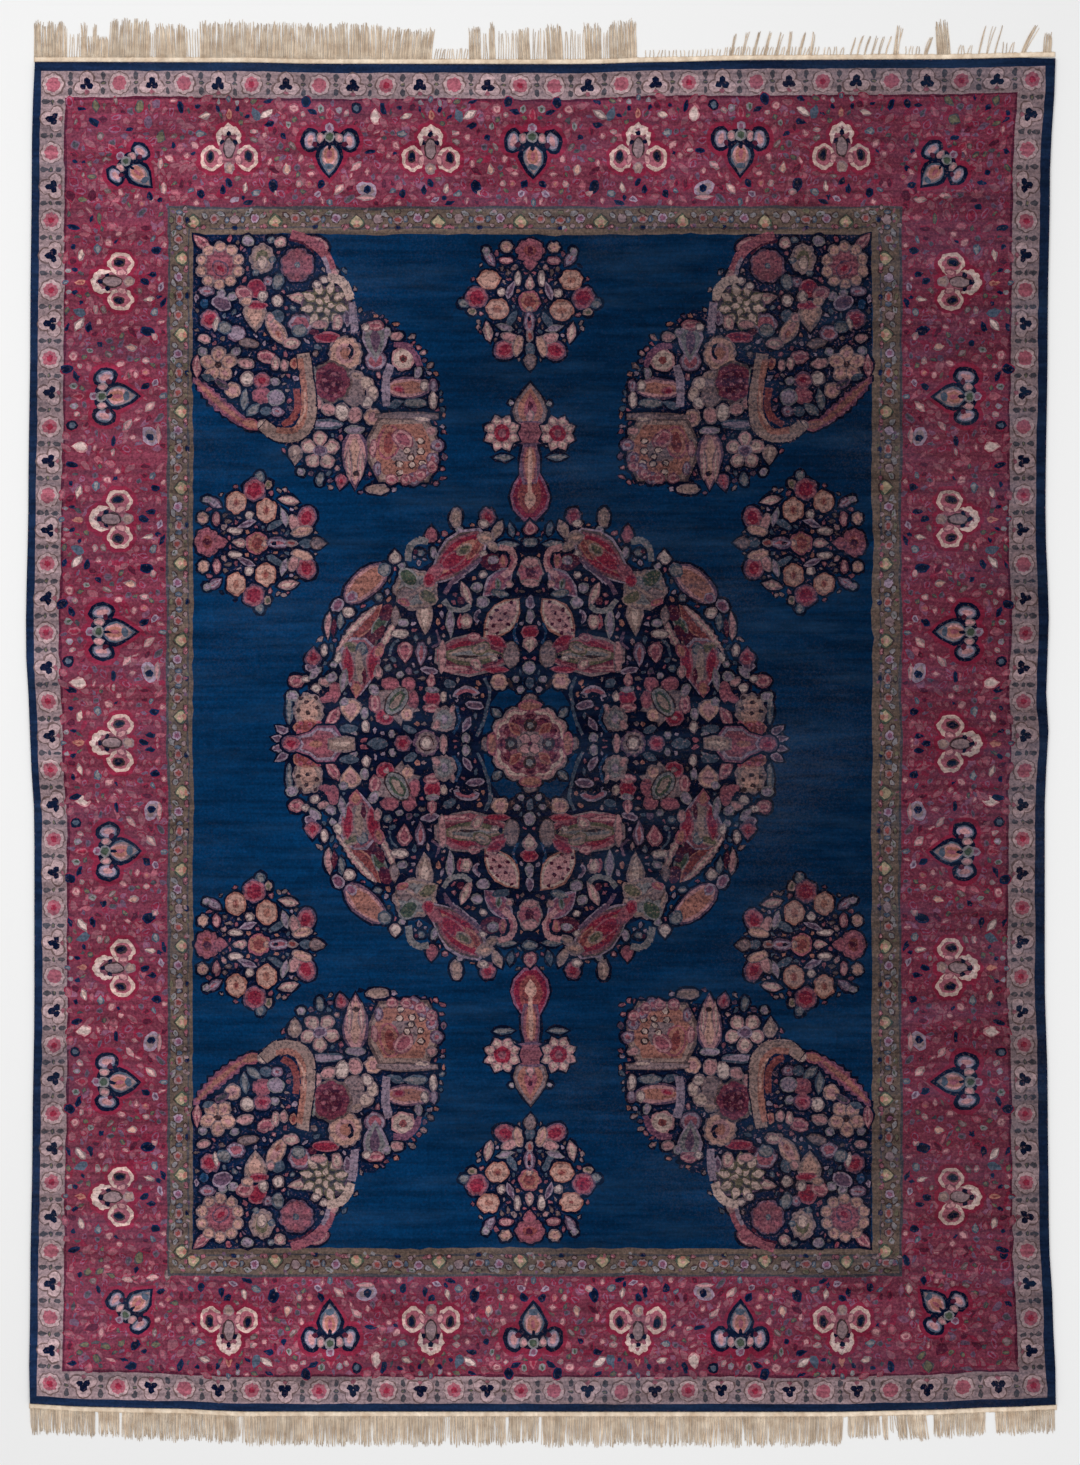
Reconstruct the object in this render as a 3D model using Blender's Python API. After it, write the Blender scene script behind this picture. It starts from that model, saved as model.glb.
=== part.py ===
"""Hand-knotted Indian carpet of about 9 by 12 feet, lying flat.

Three pieces: the knotted body, and at each end a comb of flat-woven webbing with its cut warp
fringe. Metres, +Z up, +X across the carpet, +Y along it. The underside lies on Z = 0, and the
origin is at the middle of the box that holds all three pieces.
"""

import math
import random
from collections import namedtuple

import bpy

# The knotted body.
BODY_WIDTH = 2.735
BODY_LENGTH = 3.624
BODY_THICKNESS = 0.009
EDGE_ROUND = 0.0025
OUTLINE_STEP = 0.1

# The webbing and the fringe at each end.
CLEARANCE = 0.0003
WEBBING_WIDTH = 0.015
WEBBING_THICKNESS = 0.0028
TIP_SHARE = 0.72
REACH_SPREAD = 0.06

SEED = 12

# How far each edge of the body strays outward from the plain rectangle. A side edge is measured
# upward from the foot end and an end edge from the left, both as a share of the whole edge.
Stray = namedtuple("Stray", "share out")

LEFT_EDGE = (
    Stray(0.00, 0.004), Stray(0.09, 0.000), Stray(0.20, -0.006), Stray(0.30, -0.011),
    Stray(0.43, -0.011), Stray(0.50, 0.001), Stray(0.57, 0.012), Stray(0.68, 0.005),
    Stray(0.80, 0.000), Stray(0.93, -0.004), Stray(1.00, -0.009),
)
RIGHT_EDGE = (
    Stray(0.00, 0.025), Stray(0.06, 0.015), Stray(0.13, 0.003), Stray(0.23, 0.000),
    Stray(0.32, -0.008), Stray(0.45, -0.008), Stray(0.50, 0.002), Stray(0.53, -0.004),
    Stray(0.58, 0.003), Stray(0.66, -0.006), Stray(0.80, 0.000), Stray(0.91, 0.006),
    Stray(1.00, 0.021),
)
HEAD_EDGE = (
    Stray(0.00, -0.001), Stray(0.20, -0.002), Stray(0.28, -0.006), Stray(0.53, -0.007),
    Stray(0.62, -0.001), Stray(0.70, 0.004), Stray(0.88, 0.006), Stray(1.00, 0.012),
)
FOOT_EDGE = (
    Stray(0.00, -0.017), Stray(0.06, -0.008), Stray(0.14, -0.004), Stray(0.21, 0.004),
    Stray(0.78, 0.005), Stray(0.87, 0.000), Stray(0.95, -0.008), Stray(1.00, -0.014),
)

# Stretches of fringe that are left on each end, measured from the left corner along the end.
# `teeth` bunches share the stretch, `fill` is the share of it they cover, `reach` is how far they
# stand out past the webbing, and `lean` is how far their tips shift to the right.
Stretch = namedtuple("Stretch", "start end teeth fill reach lean")

HEAD_FRINGE = (
    Stretch(0.006, 0.103, 3, 0.92, 0.102, 0.000),
    Stretch(0.142, 0.185, 2, 0.75, 0.100, 0.000),
    Stretch(0.208, 0.314, 3, 0.90, 0.112, 0.004),
    Stretch(0.340, 0.424, 3, 0.88, 0.100, -0.003),
    Stretch(0.463, 0.860, 13, 0.90, 0.101, 0.000),
    Stretch(0.868, 1.080, 8, 0.78, 0.082, 0.004),
    Stretch(1.190, 1.222, 1, 1.00, 0.094, -0.002),
    Stretch(1.246, 1.262, 1, 1.00, 0.100, -0.002),
    Stretch(1.308, 1.351, 2, 0.80, 0.090, -0.010),
    Stretch(1.399, 1.442, 2, 0.80, 0.095, -0.003),
    Stretch(1.499, 1.542, 2, 0.80, 0.094, -0.004),
    Stretch(1.571, 1.638, 3, 0.85, 0.104, -0.002),
    Stretch(1.900, 2.115, 6, 0.26, 0.076, 0.012),
    Stretch(2.190, 2.300, 4, 0.24, 0.056, 0.014),
    Stretch(2.305, 2.330, 1, 0.60, 0.088, 0.012),
    Stretch(2.385, 2.410, 1, 0.40, 0.050, 0.014),
    Stretch(2.432, 2.468, 1, 0.80, 0.102, -0.006),
    Stretch(2.530, 2.595, 2, 0.28, 0.082, 0.022),
    Stretch(2.640, 2.680, 1, 0.34, 0.086, 0.036),
    Stretch(2.712, 2.738, 1, 0.80, 0.058, 0.004),
)
FOOT_FRINGE = (
    Stretch(0.002, 0.178, 6, 0.92, 0.072, 0.000),
    Stretch(0.188, 0.243, 2, 0.92, 0.070, 0.002),
    Stretch(0.252, 0.562, 10, 0.93, 0.078, 0.000),
    Stretch(0.572, 1.115, 17, 0.92, 0.086, 0.000),
    Stretch(1.130, 1.282, 5, 0.90, 0.085, 0.001),
    Stretch(1.292, 1.370, 3, 0.80, 0.080, -0.002),
    Stretch(1.380, 2.188, 24, 0.92, 0.086, 0.000),
    Stretch(2.202, 2.286, 3, 0.78, 0.064, 0.000),
    Stretch(2.294, 2.310, 1, 1.00, 0.076, 0.004),
    Stretch(2.332, 2.412, 3, 0.78, 0.072, 0.007),
    Stretch(2.432, 2.570, 5, 0.92, 0.066, 0.000),
    Stretch(2.598, 2.756, 5, 0.93, 0.066, 0.000),
)

COLLECTION_NAME = "indian_carpet"


def clear_scene():
    """Remove every object, so the carpet is alone in the file."""
    for found in list(bpy.data.objects):
        bpy.data.objects.remove(found)


def stray_at(edge, share):
    """Read an edge table at a share of the edge, easing between its rows."""
    for before, after in zip(edge, edge[1:]):
        if share <= after.share:
            part = (share - before.share) / (after.share - before.share)
            eased = (1 - math.cos(math.pi * part)) / 2
            return before.out + (after.out - before.out) * eased
    return edge[-1].out


def corner(side, end):
    """A corner of the body: side is -1 left or 1 right, end is -1 foot or 1 head."""
    side_edge = RIGHT_EDGE if side > 0 else LEFT_EDGE
    end_edge = HEAD_EDGE if end > 0 else FOOT_EDGE
    x = side * (BODY_WIDTH / 2 + stray_at(side_edge, (end + 1) / 2))
    y = end * (BODY_LENGTH / 2 + stray_at(end_edge, (side + 1) / 2))
    return x, y


def end_edge_y(end, x):
    """Where the body's head or foot edge lies at x."""
    left, right = corner(-1, end)[0], corner(1, end)[0]
    share = min(max((x - left) / (right - left), 0), 1)
    edge = HEAD_EDGE if end > 0 else FOOT_EDGE
    return end * (BODY_LENGTH / 2 + stray_at(edge, share))


def end_line(end):
    """Points along the body's head or foot edge, left to right."""
    left, right = corner(-1, end)[0], corner(1, end)[0]
    count = round((right - left) / OUTLINE_STEP)
    across = [left + (right - left) * i / count for i in range(count + 1)]
    return [(x, end_edge_y(end, x)) for x in across]


def side_line(side):
    """Points along the body's left or right edge, foot to head, without the corners."""
    foot, head = corner(side, -1)[1], corner(side, 1)[1]
    edge = RIGHT_EDGE if side > 0 else LEFT_EDGE
    count = round((head - foot) / OUTLINE_STEP)
    shares = [i / count for i in range(1, count)]
    return [
        (side * (BODY_WIDTH / 2 + stray_at(edge, s)), foot + (head - foot) * s)
        for s in shares
    ]


def body_outline():
    """The body's outline, counter-clockwise from its left foot corner."""
    return (
        end_line(-1) + side_line(1) + end_line(1)[::-1] + side_line(-1)[::-1]
    )


def tooth(left, right, base_y, end, reach, lean):
    """One bunch of fringe: foot left, tip left, tip right, foot right."""
    middle, half = (left + right) / 2 + lean, (right - left) / 2 * TIP_SHARE
    return [
        (left, base_y(left)),
        (middle - half, base_y(middle) + end * reach),
        (middle + half, base_y(middle) + end * reach),
        (right, base_y(right)),
    ]


def comb_outline(end, fringe, rng):
    """The outline of one end's webbing with its bunches of fringe as teeth."""
    inner = [(x, y + end * CLEARANCE) for x, y in end_line(end)]
    left, right = inner[0][0], inner[-1][0]

    def webbing_edge(x):
        return end_edge_y(end, x) + end * (CLEARANCE + WEBBING_WIDTH)

    outer = [(left, webbing_edge(left))]
    for row in fringe:
        pitch = (row.end - row.start) / row.teeth
        for i in range(row.teeth):
            middle = left + row.start + pitch * (i + 0.5)
            half = pitch * row.fill / 2
            reach = row.reach * (1 + rng.uniform(-REACH_SPREAD, REACH_SPREAD))
            outer += tooth(middle - half, middle + half, webbing_edge, end, reach, row.lean)
    outer.append((right, webbing_edge(right)))
    return inner + outer[::-1]


def flat_solid(name, outline, thickness, edge_round, material, shift):
    """Extrude a flat outline to a solid whose underside lies on Z = 0, its edges rounded."""
    curve = bpy.data.curves.new(name, "CURVE")
    curve.dimensions = "2D"
    curve.fill_mode = "BOTH"
    curve.extrude = thickness / 2 - edge_round
    curve.bevel_depth = edge_round
    curve.bevel_resolution = 1
    curve.offset = -edge_round
    spline = curve.splines.new("POLY")
    spline.points.add(len(outline) - 1)
    for point, (x, y) in zip(spline.points, outline):
        point.co = (x, y, 0, 1)
    spline.use_cyclic_u = True
    made = bpy.data.objects.new(name, curve)
    made.location = (shift[0], shift[1], thickness / 2)
    curve.materials.append(material)
    weld = made.modifiers.new("weld_caps", "WELD")
    weld.merge_threshold = 0.00005
    return made


def wool(name, colour, roughness):
    """A plain matt material in linear colour."""
    material = bpy.data.materials.new(name)
    material.use_nodes = True
    shader = material.node_tree.nodes["Principled BSDF"]
    shader.inputs["Base Color"].default_value = (*colour, 1)
    shader.inputs["Roughness"].default_value = roughness
    shader.inputs["Metallic"].default_value = 0
    return material


def box_middle(outlines):
    """The middle of the box round several outlines."""
    xs = [x for outline in outlines for x, _ in outline]
    ys = [y for outline in outlines for _, y in outline]
    return (min(xs) + max(xs)) / 2, (min(ys) + max(ys)) / 2


def build():
    """Make the three pieces, with the middle of their box on the origin."""
    rng = random.Random(SEED)
    body = body_outline()
    head = comb_outline(1, HEAD_FRINGE, rng)
    foot = comb_outline(-1, FOOT_FRINGE, rng)
    middle = box_middle((body, head, foot))
    shift = (-middle[0], -middle[1])
    pile = wool("wool_pile", (0.115, 0.058, 0.085), 0.9)
    cotton = wool("cotton_warp", (0.52, 0.42, 0.31), 0.85)
    carpet = flat_solid("carpet", body, BODY_THICKNESS, EDGE_ROUND, pile, shift)
    combs = [
        flat_solid("fringe_head", head, WEBBING_THICKNESS, 0, cotton, shift),
        flat_solid("fringe_foot", foot, WEBBING_THICKNESS, 0, cotton, shift),
    ]
    collection = bpy.data.collections.new(COLLECTION_NAME)
    bpy.context.scene.collection.children.link(collection)
    for made in (carpet, *combs):
        collection.objects.link(made)


clear_scene()
build()
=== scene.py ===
"""Looks of a hand-knotted Indian carpet of about 9 by 12 feet, lying flat on a pale floor.

The design is charted: every motif is a list of small dyed shapes laid one over another,
and one knotted sheet is woven from the finished chart. The chart's unit is called a knot, but it
is a unit of the drawing and not one of the carpet's own knots. The cut warp fringe at each end is
modelled yarn by yarn, beside a ribbed strip of webbing.
"""

import cmath
import logging
import math
import random
from collections.abc import Callable
from dataclasses import dataclass, field, replace
from enum import Enum

import bmesh
import bpy
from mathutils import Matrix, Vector, noise
from mathutils.geometry import delaunay_2d_cdt


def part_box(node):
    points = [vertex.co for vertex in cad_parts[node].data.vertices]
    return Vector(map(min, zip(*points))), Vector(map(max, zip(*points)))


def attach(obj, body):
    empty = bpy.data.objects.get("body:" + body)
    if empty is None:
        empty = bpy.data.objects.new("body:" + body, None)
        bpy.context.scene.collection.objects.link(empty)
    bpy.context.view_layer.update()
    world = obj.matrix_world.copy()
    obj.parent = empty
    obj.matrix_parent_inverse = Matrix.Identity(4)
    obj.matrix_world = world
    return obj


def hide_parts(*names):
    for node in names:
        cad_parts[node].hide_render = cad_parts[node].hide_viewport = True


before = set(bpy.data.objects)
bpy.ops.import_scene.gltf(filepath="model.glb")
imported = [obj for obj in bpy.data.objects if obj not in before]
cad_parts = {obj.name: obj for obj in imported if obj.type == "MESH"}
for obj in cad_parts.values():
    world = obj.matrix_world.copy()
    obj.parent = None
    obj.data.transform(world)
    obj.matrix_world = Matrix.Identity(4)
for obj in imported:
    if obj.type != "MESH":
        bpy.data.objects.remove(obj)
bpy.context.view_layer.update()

LOG = logging.getLogger("indian_carpet")

Outline = list[complex]
Colour = tuple[float, float, float, float]


# ---------------------------------------------------------------------------------------------
# Sizes shared by the whole carpet
# ---------------------------------------------------------------------------------------------

BODY_WIDTH = 2.735
BODY_LENGTH = 3.624
BODY_THICKNESS = 0.009
# The unit of the chart, in metres. It isn't taken from the weave: it is the stretch of carpet that
# one row of the image shows, and IMAGE_HEIGHT of them fill the image.
IMAGE_HEIGHT = 1465
WIDTH_IN_KNOTS = 1018.0
KNOT = BODY_WIDTH / WIDTH_IN_KNOTS
LENGTH_IN_KNOTS = BODY_LENGTH / KNOT
FIELD_MIDDLE = complex(-6.0, -7.0)


class Dye(Enum):
    """The wools of the pile, by the colour they are dyed."""

    NIGHT = "#050d24"
    DEEP = "#081c3b"
    EDGE = "#122039"
    INDIGO = "#022647"
    MIDNIGHT = "#060e27"
    SEA = "#1d3d5e"
    SLATE = "#465060"
    ASH = "#757074"
    DUSK = "#413e44"
    MAUVE = "#5e465a"
    LILAC = "#8b7889"
    HEATHER = "#774a60"
    DUSTY = "#7d4a56"
    ROSE = "#90505d"
    BLUSH = "#ab7b7f"
    WINE = "#4a1a2c"
    MADDER = "#6a2e3f"
    CARMINE = "#742036"
    CRIMSON = "#84263a"
    BRICK = "#7d3f3f"
    SALMON = "#99655b"
    APRICOT = "#b2887e"
    SAND = "#8f7570"
    CREAM = "#b69a93"
    BONE = "#bda5a1"
    OLIVE = "#5e5848"
    MOSS = "#424c40"
    BROWN = "#3a2a2b"
    TAUPE = "#7d686c"
    STRIPE = "#836f73"
    PEARL = "#9c8487"
    LODEN = "#5c4d45"
    STRAW = "#96866f"
    UMBER = "#5c4a4a"


def linear(hex_code: str) -> Colour:
    """Turn an sRGB hex colour into linear light.

    Args:
        hex_code: the colour as "#rrggbb".

    Returns:
        The colour's linear red, green and blue, and an alpha of 1.
    """
    channels = [int(hex_code[i:i + 2], 16) / 255 for i in (1, 3, 5)]
    turned = [c / 12.92 if c <= 0.04045 else ((c + 0.055) / 1.055) ** 2.4 for c in channels]
    return (*turned, 1.0)


# ---------------------------------------------------------------------------------------------
# Shapes of the chart, each centred on 0 with its tip towards +x, in knots
# ---------------------------------------------------------------------------------------------

def oval(long: float, wide: float, lobes: int) -> Outline:
    """A plain oval of 6 to 14 sides."""
    sides = min(14, max(6, int(max(long, wide) / 1.35)))
    turns = [2 * math.pi * i / sides for i in range(sides)]
    return [complex(long / 2 * math.cos(a), wide / 2 * math.sin(a)) for a in turns]


def scalloped(long: float, wide: float, lobes: int, notch: float, steps: int = 3) -> Outline:
    """A ring of round lobes.

    Args:
        long: size along x.
        wide: size along y.
        lobes: number of lobes.
        notch: depth of the notch between lobes, as a share of the radius.
        steps: points to each lobe.

    Returns:
        The outline, counter-clockwise.
    """
    made = []
    for i in range(lobes * steps):
        swell = 1 - notch * abs(math.cos(math.pi * i / steps))
        angle = 2 * math.pi * i / (lobes * steps) + math.pi / lobes
        made.append(complex(long / 2 * swell * math.cos(angle), wide / 2 * swell * math.sin(angle)))
    return made


def rose(long: float, wide: float, lobes: int) -> Outline:
    """A full rosette with shallow scallops."""
    return scalloped(long, wide, lobes or max(6, min(14, int(long / 3))), 0.16)


def star(long: float, wide: float, lobes: int) -> Outline:
    """An open flower with deep notches between its petals."""
    return scalloped(long, wide, lobes or 6, 0.38, 4)


def along_profile(long: float, wide: float, profile: tuple[float, ...]) -> Outline:
    """A shape that is symmetric about x, from its half widths at even steps along x.

    Args:
        long: size along x.
        wide: largest size along y.
        profile: half widths as shares of wide / 2, from the tail at -x to the tip at +x.

    Returns:
        The outline, counter-clockwise.
    """
    steps = len(profile) - 1
    xs = [long * (i / steps - 0.5) for i in range(steps + 1)]
    under = [complex(x, -p * wide / 2) for x, p in zip(xs, profile)]
    over = [complex(x, p * wide / 2) for x, p in zip(xs, profile)]
    inner = [z for z, p in zip(over, profile) if p > 0]
    return under + inner[::-1]


def leaf(long: float, wide: float, lobes: int) -> Outline:
    """A leaf, pointed at both ends."""
    return along_profile(long, wide, (0.0, 0.62, 0.95, 0.98, 0.66, 0.0))


def drop(long: float, wide: float, lobes: int) -> Outline:
    """A drop or bud, round at its tail and pointed at its tip."""
    return along_profile(long, wide, (0.32, 0.86, 1.0, 0.82, 0.46, 0.0))


def saw(long: float, wide: float, lobes: int) -> Outline:
    """A leaf with toothed edges."""
    teeth = lobes or 5
    profile = [0.0]
    for i in range(teeth):
        swell = math.sin(math.pi * (i + 0.8) / (teeth + 0.6)) ** 0.6
        profile += [swell, swell * 0.72]
    return along_profile(long, wide, (*profile[:-1], 0.0))


def fan(long: float, wide: float, lobes: int) -> Outline:
    """A half palmette: a narrow foot at -x opening to a scalloped front."""
    count = lobes or 5
    half_spread, notch, stalk = 78, 0.86, wide * 0.08
    foot = complex(-long / 2, 0)
    made = [foot + complex(0, -stalk)]
    for i in range(count * 2 + 1):
        angle = math.radians(-half_spread + 2 * half_spread * i / (count * 2))
        reach = 1.0 if i % 2 else notch
        made.append(foot + complex(long * reach * math.cos(angle) * 0.98 + long * 0.02,
                                   wide / 2 * reach * math.sin(angle) * 1.02))
    return made + [foot + complex(0, stalk)]


def cup(long: float, wide: float, lobes: int) -> Outline:
    """A crescent that opens towards +x."""
    outer = [cmath.rect(1, math.radians(100 + 160 * i / 6)) for i in range(7)]
    inner = [cmath.rect(0.62, math.radians(255 - 150 * i / 5)) + 0.16 for i in range(6)]
    return [complex(z.real * wide * 0.9 + wide * 0.4, z.imag * long / 2) for z in outer + inner]


def bar(long: float, wide: float, lobes: int) -> Outline:
    """A plain bar with clipped corners."""
    return along_profile(long, wide, (0.7, 1.0, 1.0, 0.7))


class Shape(Enum):
    """The shapes that the chart is drawn with."""

    OVAL = "oval"
    ROSE = "rose"
    STAR = "star"
    LEAF = "leaf"
    DROP = "drop"
    SAW = "saw"
    FAN = "fan"
    CUP = "cup"
    BAR = "bar"


OUTLINE_OF = {
    Shape.OVAL: oval, Shape.ROSE: rose, Shape.STAR: star, Shape.LEAF: leaf, Shape.DROP: drop,
    Shape.SAW: saw, Shape.FAN: fan, Shape.CUP: cup, Shape.BAR: bar,
}


def bent(outline: Outline, long: float, degrees: float) -> Outline:
    """Bend a shape sideways along a circular arc.

    Args:
        outline: the straight shape, lying along x.
        long: its size along x.
        degrees: how far its tip turns against its tail, to the left if positive.

    Returns:
        The bent outline.
    """
    if not degrees:
        return outline
    curve = math.radians(degrees) / long
    radius = 1 / curve
    return [
        complex((radius - z.imag) * math.sin(z.real * curve),
                radius - (radius - z.imag) * math.cos(z.real * curve))
        for z in outline
    ]


def ribbon(route: tuple[complex, ...], width: float) -> list[Outline]:
    """A vine as short overlapping bars along a smooth route.

    Args:
        route: points that the vine follows, in knots.
        width: its width in knots.

    Returns:
        One four-sided outline for each step of the route.
    """
    points = smooth(route, 3)
    bars = []
    for here, there in zip(points, points[1:]):
        along = (there - here) / abs(there - here)
        side = along * 1j * width / 2
        reach = along * width * 0.25
        bars.append([here - reach - side, there + reach - side, there + reach + side,
                     here - reach + side])
    return bars


def smooth(route: tuple[complex, ...], steps: int) -> list[complex]:
    """Read a smooth curve through the points of a route.

    Args:
        route: the points that the curve passes through.
        steps: pieces between two points.

    Returns:
        The points along the curve.
    """
    padded = [2 * route[0] - route[1], *route, 2 * route[-1] - route[-2]]
    made = []
    for i in range(1, len(padded) - 2):
        p0, p1, p2, p3 = padded[i - 1:i + 3]
        for k in range(steps):
            t = k / steps
            made.append(0.5 * (2 * p1 + (p2 - p0) * t + (2 * p0 - 5 * p1 + 4 * p2 - p3) * t * t
                               + (3 * p1 - p0 - 3 * p2 + p3) * t ** 3))
    return made + [route[-1]]


# ---------------------------------------------------------------------------------------------
# Coats: the wools of one motif from its rim to its heart, as (inset in knots, dye)
# ---------------------------------------------------------------------------------------------

class Coat(Enum):
    """The wools of one motif, from its rim to its heart."""

    NAVY = ((0, Dye.NIGHT),)
    INK = ((0, Dye.DEEP), (1.5, Dye.NIGHT))
    SEA = ((0, Dye.SEA),)
    SLATE = ((0, Dye.SLATE),)
    SLATE_LILAC = ((0, Dye.SLATE), (2, Dye.LILAC))
    LILAC = ((0, Dye.ASH), (1.4, Dye.LILAC))
    TAUPE = ((0, Dye.UMBER), (1.4, Dye.TAUPE))
    BROWN = ((0, Dye.BROWN),)
    WINE = ((0, Dye.WINE),)
    BONE = ((0, Dye.TAUPE), (1.6, Dye.BONE))
    CREAM = ((0, Dye.TAUPE), (1.4, Dye.CREAM))
    CREAM_PINK = ((0, Dye.TAUPE), (1.3, Dye.BLUSH), (3, Dye.CREAM))
    CREAM_DOT = ((0, Dye.BROWN), (1.3, Dye.CREAM))
    SAND = ((0, Dye.TAUPE), (1.6, Dye.SAND), (5.5, Dye.CREAM))
    TAN = ((0, Dye.TAUPE), (2, Dye.SAND), (5, Dye.APRICOT))
    TAN_BLOOM = ((0, Dye.TAUPE), (3, Dye.SAND), (7, Dye.OLIVE))
    BLUSH = ((0, Dye.TAUPE), (1.4, Dye.BLUSH))
    PINK = ((0, Dye.DUSTY), (1.4, Dye.BLUSH), (3.6, Dye.ROSE))
    ROSE = ((0, Dye.DUSTY), (1.6, Dye.ROSE))
    RED = ((0, Dye.ROSE), (1.8, Dye.CRIMSON))
    BRICK = ((0, Dye.SALMON), (2, Dye.BRICK))
    RUST = ((0, Dye.TAUPE), (2, Dye.BRICK))
    SALMON = ((0, Dye.ROSE), (2, Dye.SALMON), (6, Dye.BRICK))
    PEACH = ((0, Dye.TAUPE), (1.4, Dye.APRICOT), (4.6, Dye.BLUSH))
    PLUM = ((0, Dye.LILAC), (1.8, Dye.MAUVE))
    PLUM_PINK = ((0, Dye.MAUVE), (1.6, Dye.LILAC), (4, Dye.ROSE))
    MAUVE_DARK = ((0, Dye.MAUVE), (1.6, Dye.DUSK))
    HEATHER = ((0, Dye.LILAC), (2, Dye.HEATHER), (6, Dye.ROSE))
    ASH = ((0, Dye.SLATE), (1.6, Dye.ASH))
    ASH_PINK = ((0, Dye.UMBER), (1.4, Dye.BLUSH))
    MOSS = ((0, Dye.ASH), (2, Dye.MOSS))
    SAGE = ((0, Dye.OLIVE), (1.6, Dye.SAND), (5, Dye.ASH))
    OLIVE = ((0, Dye.SAND), (2, Dye.OLIVE))
    YELLOW_BUD = ((0, Dye.MOSS), (1.6, Dye.STRAW), (5.0, Dye.APRICOT))
    WHITE_BUD = ((0, Dye.BLUSH), (1.5, Dye.BONE))
    NAVY_BUD = ((0, Dye.NIGHT), (2.4, Dye.SLATE))
    GUARD_ROSE = ((0, Dye.PEARL), (3.4, Dye.ROSE), (8.0, Dye.CRIMSON))
    GUARD_PETAL = ((0, Dye.PEARL),)
    BRACKET = ((0, Dye.DUSK),)
    GREEN_BUD = ((0, Dye.DUSK), (1.2, Dye.OLIVE))
    CARMINE = ((0, Dye.HEATHER), (1.4, Dye.CARMINE))
    MAUVE = ((0, Dye.MAUVE),)
    PALE_RIM = ((0, Dye.CREAM), (1.8, Dye.BONE), (5.5, Dye.DUSTY))
    PALE_HEART = ((0, Dye.BROWN), (1.6, Dye.TAUPE))
    CREAM_LOBE = ((0, Dye.CREAM), (4.0, Dye.ROSE))
    DUSTY = ((0, Dye.DUSTY),)
    BLACK_EYE = ((0, Dye.BROWN), (1.6, Dye.NIGHT))
    NAVY_LOBE = ((0, Dye.NIGHT), (3.6, Dye.SLATE), (4.8, Dye.LILAC), (7.2, Dye.BLUSH))
    NAVY_BODY = ((0, Dye.NIGHT), (4, Dye.SLATE), (5.5, Dye.TAUPE))
    SALMON_HEART = ((0, Dye.BLUSH), (1.8, Dye.SALMON), (5, Dye.ROSE))
    PALE_BOWL = ((0, Dye.LILAC), (3, Dye.TAUPE))
    DOTTED_LEAF = ((0, Dye.SALMON), (2, Dye.CREAM), (5, Dye.BLUSH))
    CONE = ((0, Dye.TAUPE), (2.5, Dye.ROSE), (6, Dye.MADDER), (11, Dye.OLIVE))
    ARCH = ((0, Dye.LILAC), (2.5, Dye.ROSE))
    BOTEH = ((0, Dye.LILAC), (2.5, Dye.UMBER), (4.5, Dye.DUSTY), (7.5, Dye.CRIMSON), (13, Dye.SALMON))
    POMEGRANATE = ((0, Dye.TAUPE), (3, Dye.SAND), (6, Dye.ASH))
    SALMON_BUD = ((0, Dye.MAUVE), (2, Dye.BLUSH), (5, Dye.SALMON))
    SPLIT_LEAF = ((0, Dye.UMBER), (3, Dye.WINE))
    FOXGLOVE = ((0, Dye.LILAC), (2.5, Dye.DUSTY), (8, Dye.TAUPE))
    GREY_BLOOM = ((0, Dye.TAUPE), (4, Dye.ASH), (9.5, Dye.LILAC))
    GREEN_HEART = ((0, Dye.BROWN), (1.8, Dye.ASH), (5, Dye.MOSS), (7.5, Dye.SAND))
    DOTTED_FAN = ((0, Dye.TAUPE), (2.5, Dye.SAND), (7, Dye.APRICOT))
    CARNATION = ((0, Dye.MAUVE), (1.6, Dye.ROSE), (5, Dye.CRIMSON))
    TERMINAL = ((0, Dye.HEATHER), (2.5, Dye.LILAC), (6, Dye.DUSTY), (10, Dye.ROSE))
    EYE_BLOOM = ((0, Dye.TAUPE), (2, Dye.ROSE), (9, Dye.WINE))
    RING = ((0, Dye.MAUVE), (2.5, Dye.TAUPE), (6, Dye.BROWN))
    HEART_RIM = ((0, Dye.TAUPE), (2, Dye.BLUSH), (5, Dye.CREAM), (8.5, Dye.DUSTY))
    HEART_GROUND = ((0, Dye.WINE), (2.5, Dye.MADDER), (9, Dye.DUSTY), (17, Dye.TAUPE))
    DARK_FLORET = ((0, Dye.BROWN), (3.4, Dye.ASH))
    CROWN = ((0, Dye.UMBER), (1.6, Dye.TAUPE), (5, Dye.SALMON), (11, Dye.ROSE))
    STEM = ((0, Dye.MAUVE), (2.5, Dye.DUSTY), (5, Dye.SALMON))
    LIGHT = ((0, Dye.APRICOT),)
    TEAR = ((0, Dye.HEATHER), (3, Dye.CARMINE), (8, Dye.BRICK))
    DAISY_HEART = ((0, Dye.CRIMSON), (4, Dye.DUSTY))
    PINK_BLOOM = ((0, Dye.DUSTY), (2.5, Dye.ROSE), (8, Dye.BRICK))
    PEACH_BLOOM = ((0, Dye.SALMON), (1.8, Dye.APRICOT), (8, Dye.SALMON), (10, Dye.BRICK))
    ROSE_BLOOM = ((0, Dye.MAUVE), (2, Dye.DUSTY))
    DUSTY_ROSE = ((0, Dye.TAUPE), (3, Dye.DUSTY), (9, Dye.ROSE))
    PEACH_RING = ((0, Dye.TAUPE), (2, Dye.APRICOT), (8, Dye.BLUSH), (13, Dye.SALMON))
    LEAF_PINK = ((0, Dye.HEATHER), (2.5, Dye.ROSE), (5, Dye.SALMON))
    LAVENDER = ((0, Dye.LILAC), (3, Dye.ASH), (8, Dye.MAUVE))
    DOTTED_GREEN = ((0, Dye.OLIVE), (1.3, Dye.CREAM))
    DOTTED_WINE = ((0, Dye.UMBER), (3, Dye.MADDER), (10, Dye.WINE))
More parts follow.
